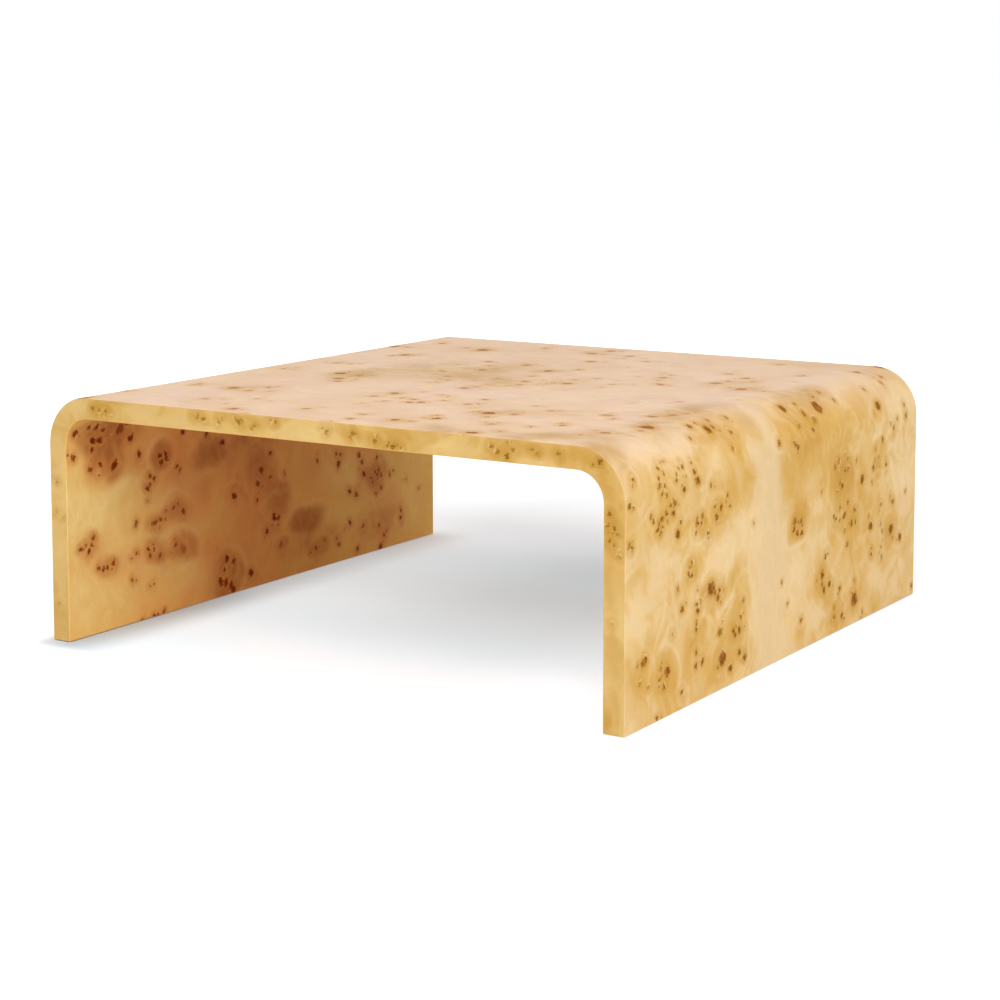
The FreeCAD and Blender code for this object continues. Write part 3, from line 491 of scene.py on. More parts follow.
# %% Golden ground
def golden_ground(along, across, eyes, spread, blend=6 * MM):
    """How golden the wood is, and how far the nearest group of eyes is.

    Golden is 1 - exp(-sum): each eye adds its size in centimetres times its tone times a bell
    curve of the distance to it, `spread` metres wide. The distance to a group is
    -blend * log(sum of exp(-distance / blend)), a smooth least distance, so the lines of equal
    distance run round a whole group and have no corners.
    """
    total = np.zeros(np.shape(along))
    close = np.full(np.shape(along), 1e-9)  # above zero, so that its log exists far from any eye
    centimetres = 2 * eyes["long"] / (10 * MM)
    for k in range(len(eyes["tone"])):
        squared = (along - eyes["along"][k]) ** 2 + (across - eyes["across"][k]) ** 2
        total += centimetres[k] * eyes["tone"][k] * np.exp(-squared / (2 * spread**2))
        close += np.exp(-np.sqrt(squared) / blend)
    return 1 - np.exp(-total), -blend * np.log(close)


first_eye = outer_eyes["along"][:1], outer_eyes["across"][:1]
print("golden at the first eye:", golden_ground(*first_eye, outer_eyes, 20 * MM)[0].round(2))


# %% Clouds and straight grain
def clouds(along, across, rows, wave, power=1, rim=False):
    """The sum of soft ovals, each strength * exp(-(distance in half sizes)^(2 * power)), in which
    a higher power makes a crisper edge. Two slow waves of `wave` millimetres bend the plane
    first, so that no oval stays an oval; their lengths have no common measure, so the bends never
    repeat. As rims, each oval is instead a thin line a little outside it,
    exp(-((distance - 1.2) / 0.14)^2), which fades from one side to the other."""
    total = np.zeros(np.shape(along))
    a = along / MM + wave * (np.sin(across / 0.041) + np.sin(across / 0.017 + along / 0.06))
    c = across / MM + wave * (np.sin(along / 0.037) + np.sin(along / 0.019 + across / 0.05))
    for middle, side, half_along, half_across, strength in rows:
        reach = ((a - middle) / half_along) ** 2 + ((c - side) / half_across) ** 2
        if rim:
            bearing = np.arctan2(c - side, a - middle)
            line = np.exp(-(((np.sqrt(reach) - 1.2) / 0.14) ** 2))
            total += strength * line * (0.5 + 0.5 * np.cos(bearing + middle))
        else:
            total += strength * np.exp(-(reach**power))
    return total


def straight_band(along, across, middle=-0.072, sway=0.012, half=0.058, starts_at=0.46):
    """Where the grain runs straight down a leg: exp(-(distance from a wavy line / half)^4). It
    comes in over 80 mm of the bend. The other side's leaf is turned end for end, so its band is
    too."""
    side = np.sign(along)
    line = middle + sway * np.sin(np.abs(along) / 0.09)
    near = np.exp(-(((across * side - line) / half) ** 4))
    return near * np.clip((np.abs(along) - starts_at) / 0.08, 0, 1)


print("cloud at the first eye:", clouds(*first_eye, outer_clouds, 7.0).round(2))

# %% [markdown]
# ## A thin leaf as a closed shell
# A leaf of veneer is a sheet with a face, a back and four narrow sides. Solidify could thicken a
# grid, but it would double every one of its quads, and the back is never seen. Here the back
# spans from side to side with a few quads for each row of the face, and both ends are one face.


# %% A closed shell
def shell(name, show, back):
    """A closed mesh between two grids of points, show (rows, columns) and back (rows, fewer).

    The face is quads (i, j), (i+1, j), (i+1, j+1), (i, j+1). The back runs the other way round,
    a wall joins each pair of long sides, and one polygon closes each end. If the first quad's
    cross product points to the back, every face is turned over.
    """
    rows, columns = show.shape[:2]
    behind = back.shape[1]
    start = rows * columns
    face = np.arange(start).reshape(rows, columns)
    rear = start + np.arange(rows * behind).reshape(rows, behind)

    def quads(a, b, c, d):
        return np.stack([a, b, c, d], axis=-1).reshape(-1, 4)

    corners = np.concatenate([
        quads(face[:-1, :-1], face[1:, :-1], face[1:, 1:], face[:-1, 1:]),
        quads(rear[:-1, :-1], rear[:-1, 1:], rear[1:, 1:], rear[1:, :-1]),
        quads(face[1:, 0], face[:-1, 0], rear[:-1, 0], rear[1:, 0]),
        quads(face[:-1, -1], face[1:, -1], rear[1:, -1], rear[:-1, -1]),
    ])
    ends = [np.concatenate([face[0], rear[0][::-1]]), np.concatenate([face[-1][::-1], rear[-1]])]
    edge_a, edge_b = show[1, 0] - show[0, 0], show[0, 1] - show[0, 0]
    if np.dot(np.cross(edge_a, edge_b), show[0, 0] - back[0, 0]) < 0:
        corners, ends = corners[:, ::-1], [end[::-1] for end in ends]
    loops = np.concatenate([corners.ravel(), *ends]).astype(np.int32)
    sizes = [4] * len(corners) + [len(end) for end in ends]
    mesh = bpy.data.meshes.new(name)
    mesh.vertices.add(start + rear.size)
    mesh.loops.add(len(loops))
    mesh.polygons.add(len(sizes))
    points = np.concatenate([show.reshape(-1, 3), back.reshape(-1, 3)])
    mesh.vertices.foreach_set("co", points.astype(np.float32).ravel())
    mesh.loops.foreach_set("vertex_index", loops)
    mesh.polygons.foreach_set("loop_start", np.cumsum([0, *sizes[:-1]]).astype(np.int32))
    mesh.update(calc_edges=True)
    if mesh.validate():
        raise ValueError(f"{name} was not a sound mesh")
    mesh.shade_smooth()
    mesh.set_sharp_from_angle(angle=math.radians(50))
    return mesh, loops


# %% What the shader reads, and the finished piece
FAR = 9.0  # half sizes from an eye: no shader draws it there


def dress(mesh, loops, along, across, eyes, ground, sheet):
    """Writes what the shader reads. Each point gets its place on the unrolled sheet, and from
    ground how golden, dark and straight-grained the wood is, the distance to a group of eyes, how
    pale it is, and its cloud. Each corner gets its place in the nearest eye and that eye's look.
    `sheet` lifts each kind of leaf to its own height in the noise, so that no two look alike."""
    def write(label, domain, values):
        made = mesh.attributes.new(label, "FLOAT_VECTOR", domain)
        made.data.foreach_set("vector", values.astype(np.float32).ravel())

    write("unrolled", "POINT", np.stack([along, across, np.full(len(along), sheet)], axis=1))
    write("ground", "POINT", np.stack(ground[:3], axis=1))
    # group's second number is how pale the wood is, a painted sheen on the top of the outer
    # leaves; its third is the cloud, broad painted shade inside the left leg
    write("group", "POINT", np.stack([ground[3] / MM, ground[4], ground[5]], axis=1))
    place = np.full((len(loops), 3), FAR)
    look = np.zeros((len(loops), 3))
    starts = np.zeros(len(mesh.polygons), np.int32)
    mesh.polygons.foreach_get("loop_start", starts)
    quads = int(starts[-2])
    four = loops[:quads].reshape(-1, 4)
    found = nearest_eye(along[four], across[four], eyes)
    place[:quads], look[:quads] = found[0].reshape(-1, 3), found[1].reshape(-1, 3)
    write("eye", "CORNER", place)
    write("eye_look", "CORNER", look)


def piece(mesh, material, slot, *nodes):
    """An object at the origin that stands for CAD nodes and rides on the table. slot is not used.
    """
    made = bpy.data.objects.new(mesh.name, mesh)
    bpy.context.scene.collection.objects.link(made)
    mesh.materials.append(material)
    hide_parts(*nodes)
    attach(made, "root")


# %% [markdown]
# ## Writing a material
# A material is a graph of small sums. These short calls add one node each and give back its
# output, so that a finish reads from top to bottom like a recipe. A new node joins the graph that
# its inputs belong to, so only the calls that start a graph have to name it.


# %% Node helpers
def paint(red, green, blue):
    """An everyday 0 to 255 colour as the linear light that sockets hold."""
    share = np.array([red, green, blue]) / 255
    linear = np.where(share <= 0.04045, share / 12.92, ((share + 0.055) / 1.055) ** 2.4)
    return (*linear.tolist(), 1.0)


def add(kind, inputs, output=0, tree=None, **settings):
    """Adds one node, sets it, and fills its sockets with numbers, colours or other outputs."""
    if tree is None:
        linked = [value for value in inputs.values() if isinstance(value, bpy.types.NodeSocket)]
        tree = linked[0].id_data
    made = tree.nodes.new("ShaderNode" + kind)
    for key, value in settings.items():
        setattr(made, key, value)
    for socket, value in inputs.items():
        if isinstance(value, bpy.types.NodeSocket):
            tree.links.new(value, made.inputs[socket])
        else:
            made.inputs[socket].default_value = value
    return made.outputs[output]


def joined(operation, *parts):
    """Numbers or outputs joined by one operation, from left to right."""
    total = parts[0]
    for part in parts[1:]:
        total = add("Math", {0: total, 1: part}, operation=operation)
    return total


def sum_of(*parts):
    return joined("ADD", *parts)


def times(*parts):
    return joined("MULTIPLY", *parts)


def swing(value, amount):
    """A 0 to 1 noise turned into one that swings by amount, half each way."""
    return add("Math", {0: value, 1: amount, 2: -amount / 2}, operation="MULTIPLY_ADD")


def ease(value, low, high):
    """0 below low, 1 above high, and an S-shaped curve between. low may be the larger."""
    if low > high:
        return joined("SUBTRACT", 1.0, ease(value, high, low))
    return add("MapRange", {0: value, 1: low, 2: high}, interpolation_type="SMOOTHSTEP")


def mix(share, a, b, blend="MIX"):
    """The colour that is a at share 0 and b at share 1."""
    return add("Mix", {0: share, 6: a, 7: b}, 2, data_type="RGBA", blend_type=blend)


def noise(place, scale, detail=2.0, rough=0.5, twist=0.0, output=0):
    inputs = {"Vector": place, "Scale": scale, "Detail": detail, "Roughness": rough}
    return add("TexNoise", {**inputs, "Distortion": twist}, output)


def stretched(place, by):
    """Coordinates multiplied axis by axis, which draws a pattern out where the number is small."""
    return add("VectorMath", {0: place, 1: by}, operation="MULTIPLY")


def length_of(vector):
    return add("VectorMath", {0: vector}, "Value", operation="LENGTH")


def attribute(tree, name):
    """What dress wrote on the mesh under this name."""
    return add("Attribute", {}, "Vector", tree, attribute_name=name)


def parts_of(vector):
    return add("SeparateXYZ", {0: vector}).node.outputs


def surface(name, **constants):
    """A new material with one Principled shader. Numbers that are the same all over go straight
    onto its sockets; an underscore stands for a space."""
    material = bpy.data.materials.new(name)
    material.use_nodes = True
    tree = material.node_tree
    shader = tree.nodes["Principled BSDF"]
    for socket, value in constants.items():
        shader.inputs[socket.replace("_", " ")].default_value = value
    return material, tree, shader


def wire(shader, **outputs):
    """Links outputs to the shader's sockets, named in the same way."""
    for socket, output in outputs.items():
        shader.id_data.links.new(output, shader.inputs[socket.replace("_", " ")])


def relief(height, distance, strength):
    """Shading as if the surface rose by height times distance, in metres."""
    return add("Bump", {"Height": height, "Distance": distance, "Strength": strength})


print("colour 128 of 255 is", round(paint(128, 128, 128)[0], 3), "as light")

# %% [markdown]
# ## Burl under satin lacquer
# Real burl has a pale ground with slow clouds of gold, rings of growth round the groups of eyes,
# soft pale veins, a fine fibre, and the eyes themselves: a brown bark, a darker core that is
# broken up and redder when large, and a pale crescent where the grain turns up. All of it is flat
# under the lacquer, so it is colour, with only a breath of relief. Noise is bent by a slower
# noise, which makes it flow.


# %% Tones of the burl
# In the outer tones the pale cast is a painted sheen: the pink-white wash that satin lacquer shows
# across the top.
OUTER_TONES = {
    "cream": paint(241, 209, 157), "gold": paint(222, 177, 97), "amber": paint(205, 153, 64),
    "blush_and_sheen": paint(236, 201, 184), "shadow": paint(200, 156, 94), "crescent": paint(248, 220, 164),
    "pale_halo": paint(216, 164, 98), "eye": paint(134, 82, 0), "eye_red": paint(134, 72, 6),
    "bark": paint(190, 138, 44), "bark_red": paint(176, 112, 36),
    "pale_eye": paint(152, 90, 18), "pale_bark": paint(202, 136, 58), "balance": 0.16,
    "speckle": 7.5, "soft": 3.0,
}
# The inner tones are darker and more orange than the outer ones: painted shade and the warm bounce
# of light under the table, over the wood's own colours.
INNER_SHADED_TONES = {
    "cream": paint(246, 196, 109), "gold": paint(238, 169, 101), "amber": paint(220, 144, 81),
    "blush_and_sheen": paint(254, 233, 161), "shadow": paint(190, 122, 64), "crescent": paint(240, 190, 110),
    "pale_halo": paint(206, 146, 64), "eye": paint(120, 46, 0), "eye_red": paint(140, 60, 6),
    "bark": paint(168, 92, 26), "bark_red": paint(170, 84, 24),
    "pale_eye": paint(124, 68, 10), "pale_bark": paint(190, 120, 46), "balance": -0.02,
    "speckle": 8.0, "soft": 3.7,
}
EDGE_TONES = OUTER_TONES | {
    "cream": paint(230, 194, 126), "gold": paint(210, 165, 86), "amber": paint(190, 141, 58),
    "eye": paint(122, 80, 6), "bark": paint(186, 134, 44), "crescent": paint(240, 206, 132),
}
print(len(OUTER_TONES), "tones and measures for each of three kinds of burl")


# %% Burl
def burl(name, cream, gold, amber, blush_and_sheen, shadow, crescent, pale_halo, eye, eye_red, bark,
         bark_red, pale_eye, pale_bark, balance, speckle, soft):
    """The veneer in one set of tones. cream is the ground, gold the clouds, amber the deepest
    gold, then a tone for the cast of pale wood, which on the top is a painted sheen, shadow the
    smudges and heartwood, and crescent the veins and the light side of an eye. Each eye has a
    halo, a bark and a dark core: the red tones are for redder eyes, the pale ones for eyes in pale
    wood and under the top's painted sheen. balance moves the ground from cream to gold. speckle is
    how far noise breaks up a core and soft how deep it fades in, in millimetres.
    """
    material, tree, shader = surface(name, IOR=1.42, Specular_IOR_Level=0.05)
    place = attribute(tree, "unrolled")
    golden, dark, straight = parts_of(attribute(tree, "ground"))
    group, pale, placed = parts_of(attribute(tree, "group"))
    first, second, radius = parts_of(attribute(tree, "eye"))
    tone, red, chance = parts_of(attribute(tree, "eye_look"))

    # three sizes of noise: clouds of a hand's width, wisps drawn out along the leaf, slow drifts
    bend = add("VectorMath", {0: noise(place, 7.0, 3.0, output=1), 1: (0.5, 0.5, 0.5)},
               operation="SUBTRACT")
    bend = add("VectorMath", {0: bend, "Scale": 0.16}, operation="SCALE")
    flow = add("VectorMath", {0: place, 1: bend}, operation="ADD")
    cloud = noise(flow, 9.0, 4.0, 0.55)
    wisp = noise(stretched(flow, (22.0, 38.0, 40.0)), 1.0, 4.0, 0.55)
    slow = noise(place, 3.6, 2.0)

    # rings of growth: waves of the distance to the group, wobbled and dying out with distance
    wobble = sum_of(group, swing(wisp, 26.0), swing(cloud, 30.0))
    rings = add("Math", {0: times(wobble, 0.34)}, operation="SINE")
    rings = times(ease(group, 34.0, 8.0), ease(group, -3.0, 6.0), rings)

    # level runs from cream through gold to amber and carries the broad painted shade inside the
    # left leg; then the pale cast, a painted sheen on the top, and the dark patches
    level = sum_of(times(golden, 0.34), times(placed, 0.60),
                   swing(cloud, 2.2), swing(wisp, 1.3), times(straight, -0.35),
                   times(rings, 0.1), balance)
    colour = mix(ease(level, -0.35, 0.8), cream, gold)
    colour = mix(times(ease(level, 0.5, 1.5), 0.9), colour, amber)
    colour = mix(times(pale, sum_of(0.62, swing(slow, 0.8), swing(wisp, 1.0))), colour, blush_and_sheen)
    darkness = times(dark, sum_of(1.0, swing(wisp, 1.1), times(rings, 0.12)))
    colour = mix(ease(darkness, 0.0, 1.05), colour, shadow)

    # growth lines are the level's own contours; fibre and grain run down the leaf
    lines = add("Math", {0: times(level, 16.0)}, operation="SINE")
    fibre = noise(stretched(flow, (34.0, 300.0, 60.0)), 1.0, 3.0, 0.6)
    drawn = add("VectorMath", {0: place, 1: bend, 2: (0.3, 0.3, 0.3)}, operation="MULTIPLY_ADD")
    grain = noise(stretched(drawn, (3.0, 95.0, 60.0)), 1.0, 5.0, 0.6)
    shade = sum_of(1.0, times(lines, 0.012), swing(fibre, 0.07),
                   times(swing(grain, 0.36), straight), swing(wisp, 0.16))
    colour = mix(1.0, colour, add("CombineXYZ", {0: shade, 1: shade, 2: shade}), "MULTIPLY")

    # pale veins: the ridges of a noise that flows with the rest, where the clouds let them show
    folded = noise(stretched(flow, (9.0, 14.0, 18.0)), 1.0, 2.0, 0.45)
    off_ridge = add("Math", {0: sum_of(folded, -0.5)}, operation="ABSOLUTE")
    vein = times(ease(off_ridge, 0.09, 0.0), ease(slow, 0.38, 0.6),
                 sum_of(0.3, times(straight, -0.25)))
    colour = mix(vein, colour, crescent)

    # distance outside the eye in millimetres, roughened so that no outline is a true oval
    length = length_of(add("CombineXYZ", {0: first, 1: second}))
    ragged = noise(place, 300.0, 1.0)
    lobed = noise(place, 110.0, 1.0)
    outside = sum_of(times(sum_of(length, -1.0), radius), swing(ragged, 7.0), swing(lobed, 9.0))
    spread = sum_of(outside, times(pale, -5.0))
    # from outside in: a wide halo, a pale crescent on one side, the bark, then the broken core
    halo = times(ease(spread, 12.0, -3.0), times(tone, 0.85))
    colour = mix(halo, colour, mix(pale, amber, pale_halo))
    turn = sum_of(times(first, 0.8), times(second, 0.6))
    lit = times(ease(turn, 0.3, 1.2), ease(outside, 4.5, 1.0), ease(chance, 0.4, 0.7), 0.5)
    colour = mix(lit, colour, crescent)
    redness = ease(red, 0.0, 0.5)
    ring = times(ease(outside, 2.0, -1.6), ease(tone, -0.2, 1.0), 0.85)
    colour = mix(ring, colour, mix(pale, mix(redness, bark, bark_red), pale_bark))
    within = sum_of(joined("MAXIMUM", outside, -soft), swing(ragged, speckle))
    core = times(ease(within, 0.8, -soft), ease(tone, -0.1, 1.1))
    mottled = mix(ease(lobed, 0.42, 0.62), eye_red, bark_red)
    colour = mix(core, colour, mix(pale, mix(redness, eye, mottled), pale_eye))

    gloss = sum_of(0.46, swing(wisp, 0.10), times(core, 0.06))
    height = sum_of(times(fibre, 0.25), times(core, -1.0), times(wisp, 0.5))
    wire(shader, Base_Color=colour, Roughness=gloss, Normal=relief(height, 0.25 * MM, 0.5))
    return material


outer_burl_painted_sheen = burl("burl_outer_painted_sheen", **OUTER_TONES)
inner_burl_painted_shade = burl("burl_inner_painted_shade", **INNER_SHADED_TONES)
edge_burl = burl("burl_edge", **EDGE_TONES)
print("burl materials:", outer_burl_painted_sheen.name, inner_burl_painted_shade.name, edge_burl.name)

# %% [markdown]
# ## The leaves
# Eight leaves cover the table: outside and inside, left and right, front and rear. Each runs from
# a foot to the middle of the top. At the front and rear arris the leaf rolls over a small round,
# so the edge catches a thin line of light instead of ending in a knife edge.


# %% Settings of the leaves and strips
STEP = 0.0026
OUTER_SHEET, INNER_SHEET, EDGE_SHEET = 0.0, 4.0, 8.0
LEAF_SPREAD, EDGE_SPREAD = 19 * MM, 10 * MM  # how far round an eye the wood is golden
INNER_DISK, INNER_RIM, OUTER_RIM = 0.45, 0.8, 0.9  # what a list's strengths are multiplied by
# The top's pale cast is a painted sheen: a pink-white wash over the top that fades round each bend
# and ends sooner where the wood is gold.
SHEEN_END, SHEEN_SHIFT, SHEEN_FADE = 0.565, 0.03, 0.13  # the top's pale cast, along the tape
print(f"a row of points every {STEP / MM:.1f} mm")


def laid_flat(along, face, back):
    """Both flat coordinates of a shell's points: the rows of its face, then those of its back."""
    flat_along = np.concatenate([np.repeat(along, len(face)), np.repeat(along, len(back))])
    return flat_along, np.concatenate([np.tile(face, len(along)), np.tile(back, len(along))])


# %% A leaf's section
def leaf_section(skin, inward, back_steps=4):
    """The leaf's section from the middle seam to the arris, as distances across and into the slab.

    It is straight to one arris radius from the end, then a quarter circle: across is the centre
    plus radius times sine, and depth is radius minus radius times cosine. The back keeps the same
    centre with the radius less the veneer. inward is +1 from the outer skin and -1 from the inner.
    """
    straight = HALF_DEPTH - ARRIS
    flat = np.linspace(0, straight, int(straight / STEP) + 1)
    turn = np.linspace(0, math.pi / 2, 6)[1:]
    across = np.concatenate([flat, straight + ARRIS * np.sin(turn)])
    depth = np.concatenate([flat * 0, ARRIS - ARRIS * np.cos(turn)])
    tape = np.concatenate([flat, straight + ARRIS * turn])
    inner = ARRIS - VENEER
    back_turn = np.linspace(0, math.pi / 2, back_steps)
    back_across = np.concatenate([[0], straight + inner * np.sin(back_turn)])
    back_depth = np.concatenate([[VENEER], ARRIS - inner * np.cos(back_turn)])
    return across, skin + inward * depth, tape, back_across, skin + inward * back_depth


print(len(leaf_section(0.0, 1)[0]), "points from the middle seam to the arris")


# %% Outer and inner leaves
def leaf_mesh(name, side, end, inside):
    """One leaf: the arch carries the section from the top's middle seam down to the foot."""
    skin = SLAB if inside else 0.0
    across, depth, tape, back_across, back_depth = leaf_section(skin, -1 if inside else 1)
    length = tape_to_foot(skin)
    along = side * np.linspace(1e-6, length, int(length / STEP) + 1)

    def carried(places, depths):
        x, z = arch(along[:, None], depths[None, :], skin)
        y = np.broadcast_to(end * places[None, :], x.shape)
        return np.stack([x, y, z], axis=-1)

    mesh, loops = shell(name, carried(across, depth), carried(back_across, back_depth))
    flat_along, flat_across = laid_flat(along, end * tape, end * back_across)
    eyes = inner_eyes if inside else outer_eyes
    golden, group = golden_ground(flat_along, flat_across, eyes, LEAF_SPREAD)

    def patches(rows, wave, **kind):
        return clouds(flat_along, flat_across, rows, wave, **kind)

    if inside:
        dark = patches(inner_clouds, 3.0, power=2)
        dark = np.minimum(dark + INNER_DISK * patches(inner_disks, 3.0, power=3), 1.1)
        pale = patches(inner_pale, 6.0) + INNER_RIM * patches(inner_disks, 3.0, rim=True)
        pale = np.minimum(pale, 1)
        # inside, the cloud is the broad list: painted shade over some of the wood's own patches
        straight, cloud = golden * 0, patches(inner_patches_and_shade, 9.0)
    else:
        dark = patches(TOP_SMUDGES, 8.0)
        cloud = patches(outer_clouds, 7.0) + patches(outer_disks, 4.0, power=3)
        cloud -= OUTER_RIM * patches(outer_disks, 4.0, rim=True)
        # outside, pale is the top's painted sheen, fading round each bend
        sheen_end = SHEEN_END - SHEEN_SHIFT * np.clip(cloud, -1, 1)
        pale = np.clip((sheen_end - np.abs(flat_along)) / SHEEN_FADE, 0, 1)
        straight = straight_band(flat_along, flat_across)
    ground = (golden, dark, straight, group, pale, cloud)
    dress(mesh, loops, flat_along, flat_across, eyes, ground,
          INNER_SHEET if inside else OUTER_SHEET)
    return mesh


SIDES = {"left": -1, "right": 1}
ENDS = {"front": -1, "rear": 1}
for side_name, side in SIDES.items():
    for end_name, end in ENDS.items():
        for face_name, inside in (("outer", False), ("inner", True)):
            stem = f"{side_name}_{end_name}_{face_name}"
            mesh = leaf_mesh(f"{stem}_skin", side, end, inside)
            piece(mesh, inner_burl_painted_shade if inside else outer_burl_painted_sheen, f"burl_{face_name}_face",
                  f"{stem}_leaf")
            print(mesh.name, len(mesh.polygons), "faces")

# %% [markdown]
# ## The edge strips
# The front and rear edges of the slab wear narrow strips: one along the top and round both bends,
# and one down each leg. They lie between the two rolled arrises, flush with them.


# %% Edge strips
def strip_mesh(name, starts_at, ends_at, end, eyes, cloud_rows):
    """A flat strip in the plane of the edge: the arch gives x and z for each distance along and
    each depth between the arrises, and y is the slab's end."""
    along = np.linspace(starts_at, ends_at, int(abs(ends_at - starts_at) / STEP) + 1)
    depth = np.linspace(ARRIS, SLAB - ARRIS, int(SLAB / STEP) + 1)
    back_depth = depth[[0, -1]]

    def carried(depths, y):
        x, z = arch(along[:, None], depths[None, :], 0.0)
        return np.stack([x, np.full(x.shape, y), z], axis=-1)

    mesh, loops = shell(name, carried(depth, end * HALF_DEPTH),
                        carried(back_depth, end * (HALF_DEPTH - VENEER)))
    flat_along, flat_depth = laid_flat(along, depth, back_depth)
    golden, group = golden_ground(flat_along, flat_depth, eyes, EDGE_SPREAD)
    cloud = clouds(flat_along, flat_depth, cloud_rows, 2.0)
    nothing = golden * 0
    ground = (golden, nothing, nothing, group, nothing, cloud)
    dress(mesh, loops, flat_along, flat_depth, eyes, ground, EDGE_SHEET + end)
    return mesh


bend_end = FLAT + BEND * math.pi / 2
for end_name, end in ENDS.items():
    eyes = front_edge_eyes if end < 0 else rear_edge_eyes
    rows = FRONT_EDGE_CLOUDS if end < 0 else mirrored(FRONT_EDGE_CLOUDS)
    mesh = strip_mesh(f"{end_name}_arch_edge_skin", -bend_end, bend_end, end, eyes, rows)
    piece(mesh, edge_burl, "burl_edge", f"{end_name}_arch_edge_strip")
    for side_name, side in SIDES.items():
        mesh = strip_mesh(f"{end_name}_{side_name}_leg_edge_skin", side * bend_end,
                          side * tape_to_foot(0.0), end, eyes, rows)
        piece(mesh, edge_burl, "burl_edge", f"{end_name}_{side_name}_leg_edge_strip")
    print(end_name, "edge strips made")

# %% [markdown]
# ## Inside the slab
# The core, the bent plies, the tongues, the lippings, the glides and the nails keep the meshes
# that CAD gave them. Only the glides and a sliver of the lippings can be seen, but each gets the
# finish that it has in the workshop.


# %% Core materials
def board(name, dark, light, stretch, scale, rough):
    """A raw board: a drawn-out noise between two colours, with the same noise as faint relief."""
    material, tree, shader = surface(name, IOR=1.4)
    place = add("TexCoord", {}, "Object", tree)
    figure = noise(stretched(place, stretch), scale, 4.0, 0.6, 0.3)
    speck = noise(place, 900.0, 2.0)
    colour = mix(ease(sum_of(figure, swing(speck, 0.3)), 0.3, 0.7), dark, light)
    wire(shader, Base_Color=colour, Normal=relief(figure, 0.2 * MM, 0.6),
         Roughness=sum_of(rough, swing(figure, 0.12)))
    return material


def metal(name, dark, light, rough):
    """Drawn steel: a noise stretched along the nail moves both its grey and its roughness."""
    material, tree, shader = surface(name, Metallic=1.0)
    place = add("TexCoord", {}, "Object", tree)
    brushed = noise(stretched(place, (900.0, 900.0, 60.0)), 1.0, 2.0)
    wire(shader, Base_Color=mix(brushed, dark, light),
         Roughness=sum_of(rough, swing(brushed, 0.15)))
    return material


def nylon(name, dark, light):
    """Moulded nylon: nearly even, a little cloudy, with a fine moulded grain as relief."""
    material, tree, shader = surface(name, IOR=1.53)
    place = add("TexCoord", {}, "Object", tree)
    cloudy = noise(place, 120.0, 3.0)
    wire(shader, Base_Color=mix(cloudy, dark, light),
         Roughness=sum_of(0.48, swing(cloudy, 0.1)),
         Normal=relief(noise(place, 1600.0, 1.0), 0.05 * MM, 0.5))
    return material


CORE_FINISHES = {
    "fibreboard_core": board("fibreboard", paint(158, 128, 94), paint(190, 158, 120),
                             (1.0, 1.0, 2.0), 420.0, 0.82),
    "bent_ply": board("bent_ply", paint(196, 160, 114), paint(222, 190, 146),
                      (6.0, 120.0, 6.0), 2.4, 0.7),
    "tongue_ply": board("tongue_ply", paint(200, 168, 124), paint(226, 198, 158),
                        (8.0, 90.0, 8.0), 3.0, 0.68),
    "lipping_hardwood": board("lipping", paint(190, 146, 92), paint(220, 180, 124),
                              (60.0, 5.0, 60.0), 3.0, 0.55),
    "glide_nylon": nylon("glide_nylon", paint(208, 200, 184), paint(226, 220, 206)),
    "nail_steel": metal("nail_steel", paint(140, 142, 146), paint(188, 190, 194), 0.35),
}
BY_NAME = (
    ("glide_nail", "nail_steel"), ("glide", "glide_nylon"), ("lipping", "lipping_hardwood"),
    ("tongue", "tongue_ply"), ("bend_ply", "bent_ply"), ("board", "fibreboard_core"),
)
for name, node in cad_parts.items():
    if node.hide_render:
        continue
    slot = next(slot for word, slot in BY_NAME if word in name)
    node.data.materials.clear()
    node.data.materials.append(CORE_FINISHES[slot])
print("core finishes:", sorted(CORE_FINISHES))

# %% [markdown]
# ## Floor, world and lamps
# The picture has a white floor that still holds a soft grey shadow. A floor as bright as that
# would flood the table with light, so the extra white is added only for rays that come from the
# camera or are seen in a glossy or clear face. The world works the same way: white to look at,
# softer as a light. Two more things are only for those rays. The photograph's shadow is deeper
# in some places than in others, so the glow has a list of places where it rises or falls. And
# golden wood throws a warm light on a floor, which the photograph's grey floor doesn't show, so
# the floor near the table is painted a little blue for them.


# %% Floor and light
FLOOR_SIZE = 40.0
FLOOR_GLOW = 0.39
# Bounds along the inside of the left foot: there the glow falls, a painted contact shadow that
# deepens towards the front.
LEFT_FOOT_PAINTED_SHADOW = (("aside", -0.385, -0.5), ("aside", -0.57, -0.53),
             ("ahead", -0.59, -0.54), ("ahead", 0.6, 0.5))
# The first row whitens the far floor. The rest are painted light and painted shadow on the floor:
# brighter towards the front, the right, far behind and under the left half, darker just behind the
# table, and the painted contact shadow by the left foot.
GLOW_AND_PAINTED_SHADOW = (
    (0.4, ("around", 1.3, 3.0)),
    (0.098, ("ahead", 0.25, -0.1)),
    (-0.1, ("ahead", 0.2, 0.5)),
    (0.07, ("ahead", 0.65, 0.95)),
    (0.12, ("aside", 0.1, 0.4)),
    (0.07, ("aside", -0.45, -0.65), ("ahead", 0.5, 0.75)),
    (0.15, ("aside", 0.0, -0.42), ("ahead", 0.72, 0.45), ("ahead", -0.45, 0.0)),
    (-0.17, *LEFT_FOOT_PAINTED_SHADOW),
    (-0.28, *LEFT_FOOT_PAINTED_SHADOW, ("ahead", 0.2, -0.3)),
)
BY_TABLE = (("around", 1.1, 0.35), ("ahead", -0.6, -0.1))
COOL_CHANGES = (
    (1.0, *BY_TABLE),
    (0.4, *BY_TABLE, ("aside", -0.2, -0.5)),
    (-0.25, *BY_TABLE, ("ahead", 0.3, 0.5)),
)
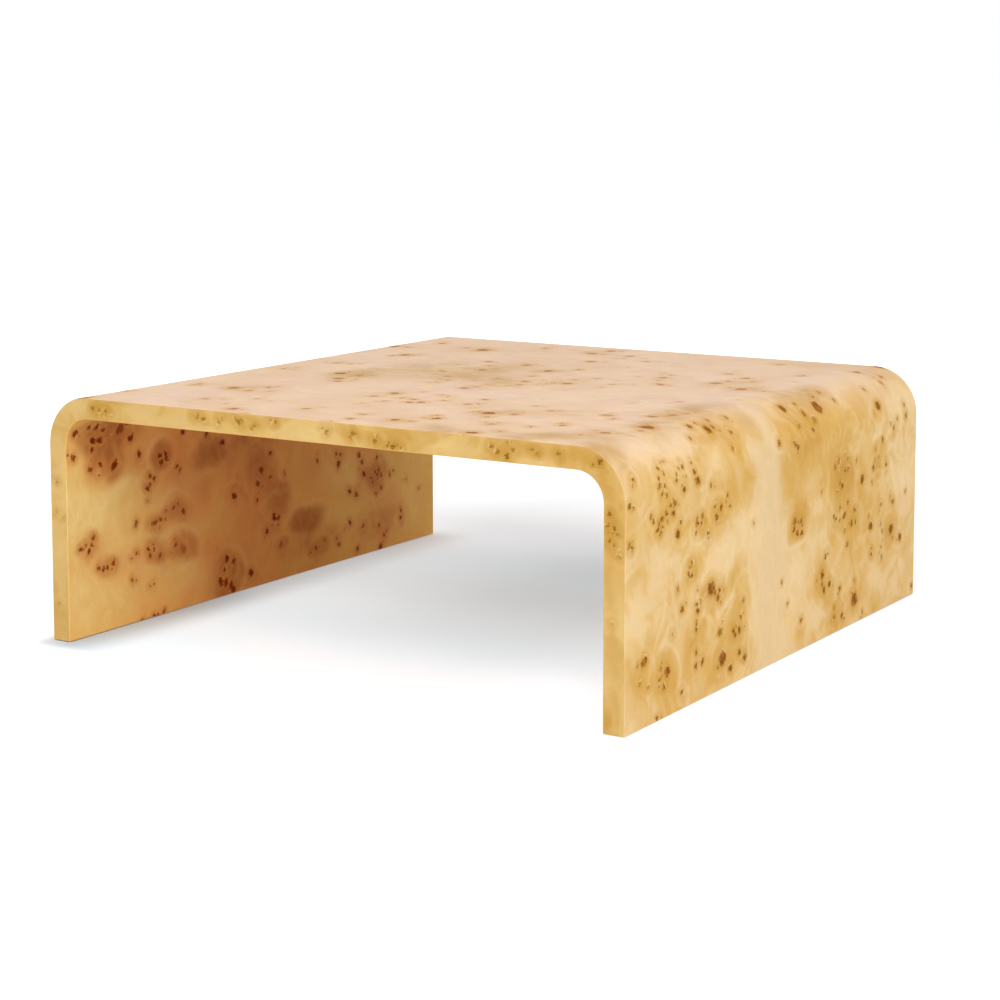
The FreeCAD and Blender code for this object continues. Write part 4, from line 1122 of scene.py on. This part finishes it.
COOL_BY_FOOT = (
    (0.62, ("aside", -0.05, -0.4), ("ahead", -0.68, -0.5), ("ahead", 0.0, -0.35),
     ("aside", -0.55, -0.5)),
)

floor_mesh = bpy.data.meshes.new("floor")
half = FLOOR_SIZE / 2
floor_mesh.from_pydata([(-half, -half, 0), (half, -half, 0), (half, half, 0), (-half, half, 0)],
                       [], [(0, 1, 2, 3)])
floor = bpy.data.objects.new("floor", floor_mesh)
bpy.context.scene.collection.objects.link(floor)


def seen_directly(tree):
    """1 for a ray from the camera or one seen in a glossy or clear face, 0 for one that lights."""
    ray = add("LightPath", {}, tree=tree).node.outputs
    kinds = ("Camera", "Glossy", "Transmission")
    return joined("MAXIMUM", *(ray[f"Is {kind} Ray"] for kind in kinds))


def places(spots, rows, total=0.0):
    """total plus, for each row, its amount times one ease for each (distance, low, high)."""
    for amount, *bounds in rows:
        eases = [ease(spots[spot_name], low, high) for spot_name, low, high in bounds]
        total = sum_of(total, times(*eases, amount))
    return total


material, tree, shader = surface("floor", Roughness=1.0, Specular_IOR_Level=0.0)
spot = add("TexCoord", {}, "Object", tree)
around = length_of(stretched(spot, (1.25, 1.25, 1.0)))
aside, ahead, _ = parts_of(spot)
spots = {"around": around, "aside": aside, "ahead": ahead}
direct = seen_directly(tree)
cool = joined("MAXIMUM", places(spots, COOL_CHANGES), places(spots, COOL_BY_FOOT))
tint = mix(noise(spot, 3.0, 2.0), paint(230, 230, 231), paint(232, 232, 233))
wire(shader,
     Base_Color=mix(times(cool, direct), tint, paint(195, 225, 250)),
     Emission_Color=mix(ease(around, 1.3, 0.6), (1.0, 1.0, 1.0, 1.0), (0.95, 1.0, 1.05, 1.0)),
     Emission_Strength=times(direct, places(spots, GLOW_AND_PAINTED_SHADOW, FLOOR_GLOW)))
floor_mesh.materials.append(material)

world = bpy.data.worlds.new("studio")
world.use_nodes = True
bpy.context.scene.world = world
tree = world.node_tree
tree.nodes.clear()
soft, white = (
    add("Background", {"Color": (1.0, 1.0, 1.0, 1.0), "Strength": strength}, tree=tree)
    for strength in (0.72, 1.0))
wire(tree.nodes.new("ShaderNodeOutputWorld"),
     Surface=add("MixShader", {0: seen_directly(tree), 1: soft, 2: white}))


def soft_box(name, place, aim, size, power):
    """A square area lamp at place, turned so that its -Z axis points at aim."""
    lamp = bpy.data.lights.new(name, "AREA")
    lamp.size, lamp.energy = size, power
    made = bpy.data.objects.new(name, lamp)
    made.location = place
    direction = (np.array(aim) - np.array(place)).tolist()
    made.rotation_euler = Vector(direction).to_track_quat("-Z", "Y").to_euler()
    bpy.context.scene.collection.objects.link(made)


soft_box("key", (1.6, -3.4, 3.4), (0.0, 0.0, 0.2), 2.4, 84.0)
soft_box("side", (4.2, -0.6, 1.4), (0.0, 0.0, 0.2), 3.0, 25.0)

# %% [markdown]
# ## Finish
# The view shows each colour as it is written, and the scene is brought up to date. The skin may
# not be larger than the slab that CAD measured.

# %% Finish
bpy.context.scene.view_settings.view_transform = "Standard"
bpy.context.view_layer.update()
